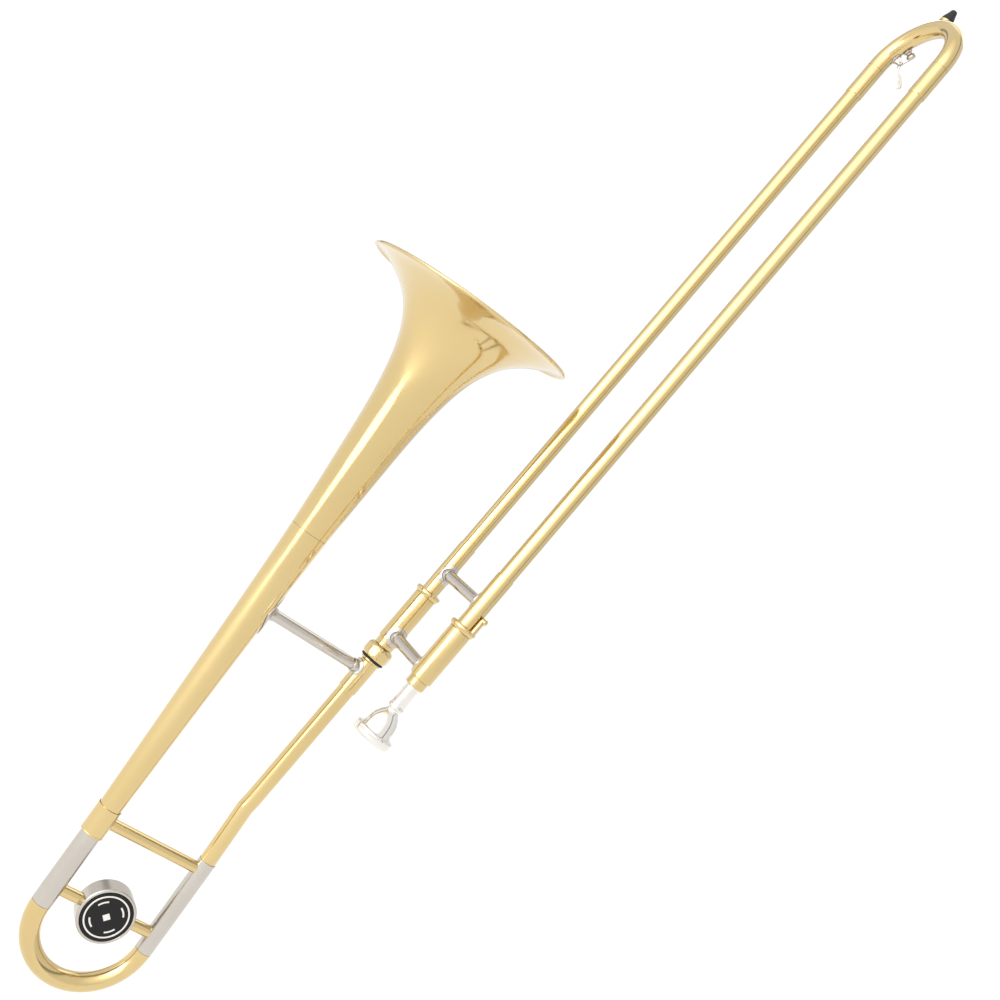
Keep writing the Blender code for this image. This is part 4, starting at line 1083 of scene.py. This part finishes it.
class TROMBONE_OT_slide_lock(bpy.types.Operator):
    """The turning ring with its arm, knob and hook, and the lug that the hook catches."""

    bl_idname = "trombone.slide_lock"
    bl_label = "Slide lock"

    def execute(self, context):
        place = mouth_side()
        ring = turned("lock_ring", in_mm(TURNED_FIXED_SLIDE["barrel_ring"][0]), BRASS, place, ROUND,
                      1.1 * MM)
        turned_place = place @ Matrix.Rotation(LOCK_ANGLE, 4, "Z")
        out = turned_place.to_3x3() @ Vector((1, 0, 0))
        side = turned_place.to_3x3() @ Vector((0, 1, 0))
        low = turned_place @ Vector((ARM_RADIUS, 0, 0))
        route = [low + UP * rise * MM for rise in (0, 3, 6, 9, 12, 14, 15.6, 16.8, 17.6, 18)]
        widths = [width * MM for width in (6.4, 6.2, 5.8, 5.6, 5.6, 5.5, 5.2, 4.6, 3.4, 1.6)]
        arm = strap("lock_arm", route, widths, 2.4 * MM, side, BRASS)
        sweep = [turned_place @ (Matrix.Rotation(HOOK_TURN * i / 10, 3, "Z") @ Vector((ARM_RADIUS, 0, 0)))
                 + UP * 16.4 * MM for i in range(11)]
        hook = strap("lock_hook", sweep, [3.2 * MM] * 10 + [1.8 * MM], 2.2 * MM, UP, BRASS)
        knob_place = facing(low + UP * 15.6 * MM, out, UP)
        knob = turned("lock_knob", in_mm(((0, 4.0), (1.6, 3.8), (2.7, 2.9), (2.9, 1.9), (2.2, 0.9), (1.6, 0.4),
                                          (1.6, -0.6), (0, -0.6))), BRASS, knob_place, SMALL_ROUND,
                      0.6 * MM, False)
        settle(joined("slide_lock_piece", [ring, arm, hook, knob]), "slide_lock_ring")
        lug_place = place @ at(0, 0, LUG_HEIGHT) @ Matrix.Rotation(LUG_ANGLE, 4, "Z") @ Matrix.Rotation(
            math.pi / 2, 4, "Y")
        lug = turned("slide_lock_lug_piece", in_mm(((0, 11.4), (1.6, 11.4), (2.0, 11.0), (2.0, 9.0), (2.8, 8.2),
                                                    (3.0, 7.4), (0, 7.4))), BRASS, lug_place,
                     SMALL_ROUND, 0.3 * MM, False)
        settle(lug, "slide_lock_lug")
        return {"FINISHED"}


# ---------------------------------------------------------------- studio

CAMERA_PLACE = Vector((-0.59372, -1.04761, 0.09282))
CAMERA_RIGHT = Vector((0.686738, -0.323807, 0.6508))
CAMERA_UP = Vector((-0.60763, 0.235679, 0.758446))
CAMERA_LENS = 49.508
CAMERA_SHIFT = (0.1, -0.06)
KEY_WAY = (0.75, -0.45, 0.42)  # back towards the camera, to its right and up
KEY_DISTANCE = 1.9
KEY_SIZE = 1.4
FILL_PLACE = Vector((0.5, 0.9, 2.0))  # from the middle of the trombone
FILL_SIZE = 1.8
BACKDROP = 1.05  # brightness of the room where the camera sees it
FLOOR_HALF = 14

# Brightness of the room, from straight away from the softbox (0) to straight at it (1).
ROOM_GLOW = (
    (0.0, 0.85), (0.22, 0.92), (0.34, 1.0), (0.385, 0.30), (0.42, 0.34), (0.47, 1.0), (0.68, 1.0),
    (0.82, 1.35), (0.92, 2.3), (1.0, 3.0),
)


class TROMBONE_OT_studio(bpy.types.Operator):
    """A plain pale floor, a soft white room and a camera that looks at the trombone's side."""

    bl_idname = "trombone.studio"
    bl_label = "Studio"

    def execute(self, context):
        scene = context.scene
        studio = scene.trombone_studio
        scene.view_settings.view_transform = "Standard"
        self.make_camera(scene)
        back = CAMERA_RIGHT.cross(CAMERA_UP)
        key_way = (back * KEY_WAY[0] + CAMERA_RIGHT * KEY_WAY[1] + CAMERA_UP * KEY_WAY[2]).normalized()
        self.make_room(scene, studio, key_way)
        self.make_floor(scene, studio)
        middle = (CAD_BOX[0] + CAD_BOX[1]) / 2
        self.make_light(scene, "key_light", middle + key_way * KEY_DISTANCE, middle, studio.key_power, KEY_SIZE)
        self.make_light(scene, "fill_light", middle + FILL_PLACE, middle, studio.key_power * 0.5, FILL_SIZE)
        return {"FINISHED"}

    def make_camera(self, scene):
        data = bpy.data.cameras.new("camera")
        data.lens = CAMERA_LENS
        data.sensor_width = 36
        data.shift_x, data.shift_y = CAMERA_SHIFT
        data.clip_start = 0.01
        camera = bpy.data.objects.new("camera", data)
        scene.collection.objects.link(camera)
        back = CAMERA_RIGHT.cross(CAMERA_UP)
        turn = Matrix((CAMERA_RIGHT, CAMERA_UP, back)).transposed()
        camera.matrix_world = Matrix.Translation(CAMERA_PLACE) @ turn.to_4x4()
        scene.camera = camera

    def make_room(self, scene, studio, key_way):
        """A white room with a large softbox, and a dim ring round it that draws dark lines on the metal."""
        world = bpy.data.worlds.new("white_room")
        world.use_nodes = True
        tree = world.node_tree
        tree.nodes.clear()
        way = add_node(tree, "ShaderNodeTexCoord").outputs["Generated"]
        unit = add_node(tree, "ShaderNodeVectorMath", links={0: way}, operation="NORMALIZE")
        towards = add_node(tree, "ShaderNodeVectorMath", {1: key_way}, {0: unit.outputs[0]},
                           operation="DOT_PRODUCT")
        share = add_node(tree, "ShaderNodeMapRange", {"From Min": -1.0, "From Max": 1.0},
                         {"Value": towards.outputs["Value"]})
        glow = add_node(tree, "ShaderNodeValToRGB", links={0: share.outputs[0]})
        ramp = glow.color_ramp
        ramp.interpolation = "EASE"
        for i, (position, grey) in enumerate(ROOM_GLOW):
            stop = ramp.elements[i] if i < 2 else ramp.elements.new(position)
            stop.position = position
            stop.color = (grey, grey, grey, 1)
        level = add_node(tree, "ShaderNodeMath", {1: studio.surround}, {0: glow.outputs[0]},
                         operation="MULTIPLY")
        path = add_node(tree, "ShaderNodeLightPath")
        soft = add_node(tree, "ShaderNodeMix", {3: studio.ambient},
                        {0: path.outputs["Is Diffuse Ray"], 2: level.outputs[0]}, data_type="FLOAT")
        strength = add_node(tree, "ShaderNodeMix", {3: BACKDROP},
                            {0: path.outputs["Is Camera Ray"], 2: soft.outputs[0]}, data_type="FLOAT")
        light = add_node(tree, "ShaderNodeBackground", {"Color": (1.0, 0.995, 0.985, 1)},
                         {"Strength": strength.outputs[0]})
        add_node(tree, "ShaderNodeOutputWorld", links={"Surface": light.outputs[0]})
        scene.world = world

    def make_floor(self, scene, studio):
        """Matt pale board: flat, with a faint tooth."""
        LOOKS["floor"] = moulded("painted_board_rolled", scene.trombone_colours.floor, (0.85, 0.95), 3.0, 0.05,
                                 {"IOR": 1.45})
        level = CAD_BOX[0].z - studio.floor_drop
        work = bmesh.new()
        signs = ((-1, -1), (1, -1), (1, 1), (-1, 1))
        corners = [work.verts.new((x * FLOOR_HALF, y * FLOOR_HALF, 0)) for x, y in signs]
        work.faces.new(corners)
        floor = finished(work, "floor", "floor", at(0, 0, level))

    def make_light(self, scene, name, place, target, power, size):
        data = bpy.data.lights.new(name, "AREA")
        data.shape = "DISK"
        data.size = size
        data.energy = power
        light = bpy.data.objects.new(name, data)
        light.matrix_world = facing(place, place - target, UP)
        scene.collection.objects.link(light)


OPERATORS = (
    TROMBONE_OT_fixed_slide,
    TROMBONE_OT_outer_slide,
    TROMBONE_OT_neck,
    TROMBONE_OT_bell,
    TROMBONE_OT_braces,
    TROMBONE_OT_tuning_slide,
    TROMBONE_OT_counterweight,
    TROMBONE_OT_mouthpiece,
    TROMBONE_OT_water_key,
    TROMBONE_OT_slide_lock,
    TROMBONE_OT_studio,
)


class TROMBONE_PT_panel(bpy.types.Panel):
    """Lists the trombone's sizes, colours and pieces."""

    bl_idname = "TROMBONE_PT_panel"
    bl_label = "Trombone"
    bl_space_type = "VIEW_3D"
    bl_region_type = "UI"
    bl_category = "Trombone"

    def draw(self, context):
        for prop, group in GROUPS.items():
            box = self.layout.box()
            for name in group.__annotations__:
                box.prop(getattr(context.scene, prop), name)
        for operator in OPERATORS:
            self.layout.operator(operator.bl_idname)


GROUPS = {
    "trombone_sizes": TromboneSizes,
    "trombone_colours": TromboneColours,
    "trombone_studio": TromboneStudio,
}


def register():
    for group in GROUPS.values():
        bpy.utils.register_class(group)
    for name, group in GROUPS.items():
        setattr(bpy.types.Scene, name, bpy.props.PointerProperty(type=group))
    for operator in OPERATORS:
        bpy.utils.register_class(operator)
    bpy.utils.register_class(TROMBONE_PT_panel)


def unregister():
    bpy.utils.unregister_class(TROMBONE_PT_panel)
    for operator in reversed(OPERATORS):
        bpy.utils.unregister_class(operator)
    for name in GROUPS:
        delattr(bpy.types.Scene, name)
    for group in reversed(GROUPS.values()):
        bpy.utils.unregister_class(group)


def main():
    register()
    make_looks(bpy.context.scene.trombone_colours)
    for operator in OPERATORS:
        group, name = operator.bl_idname.split(".")
        getattr(getattr(bpy.ops, group), name)()


if __name__ == "__main__":
    main()
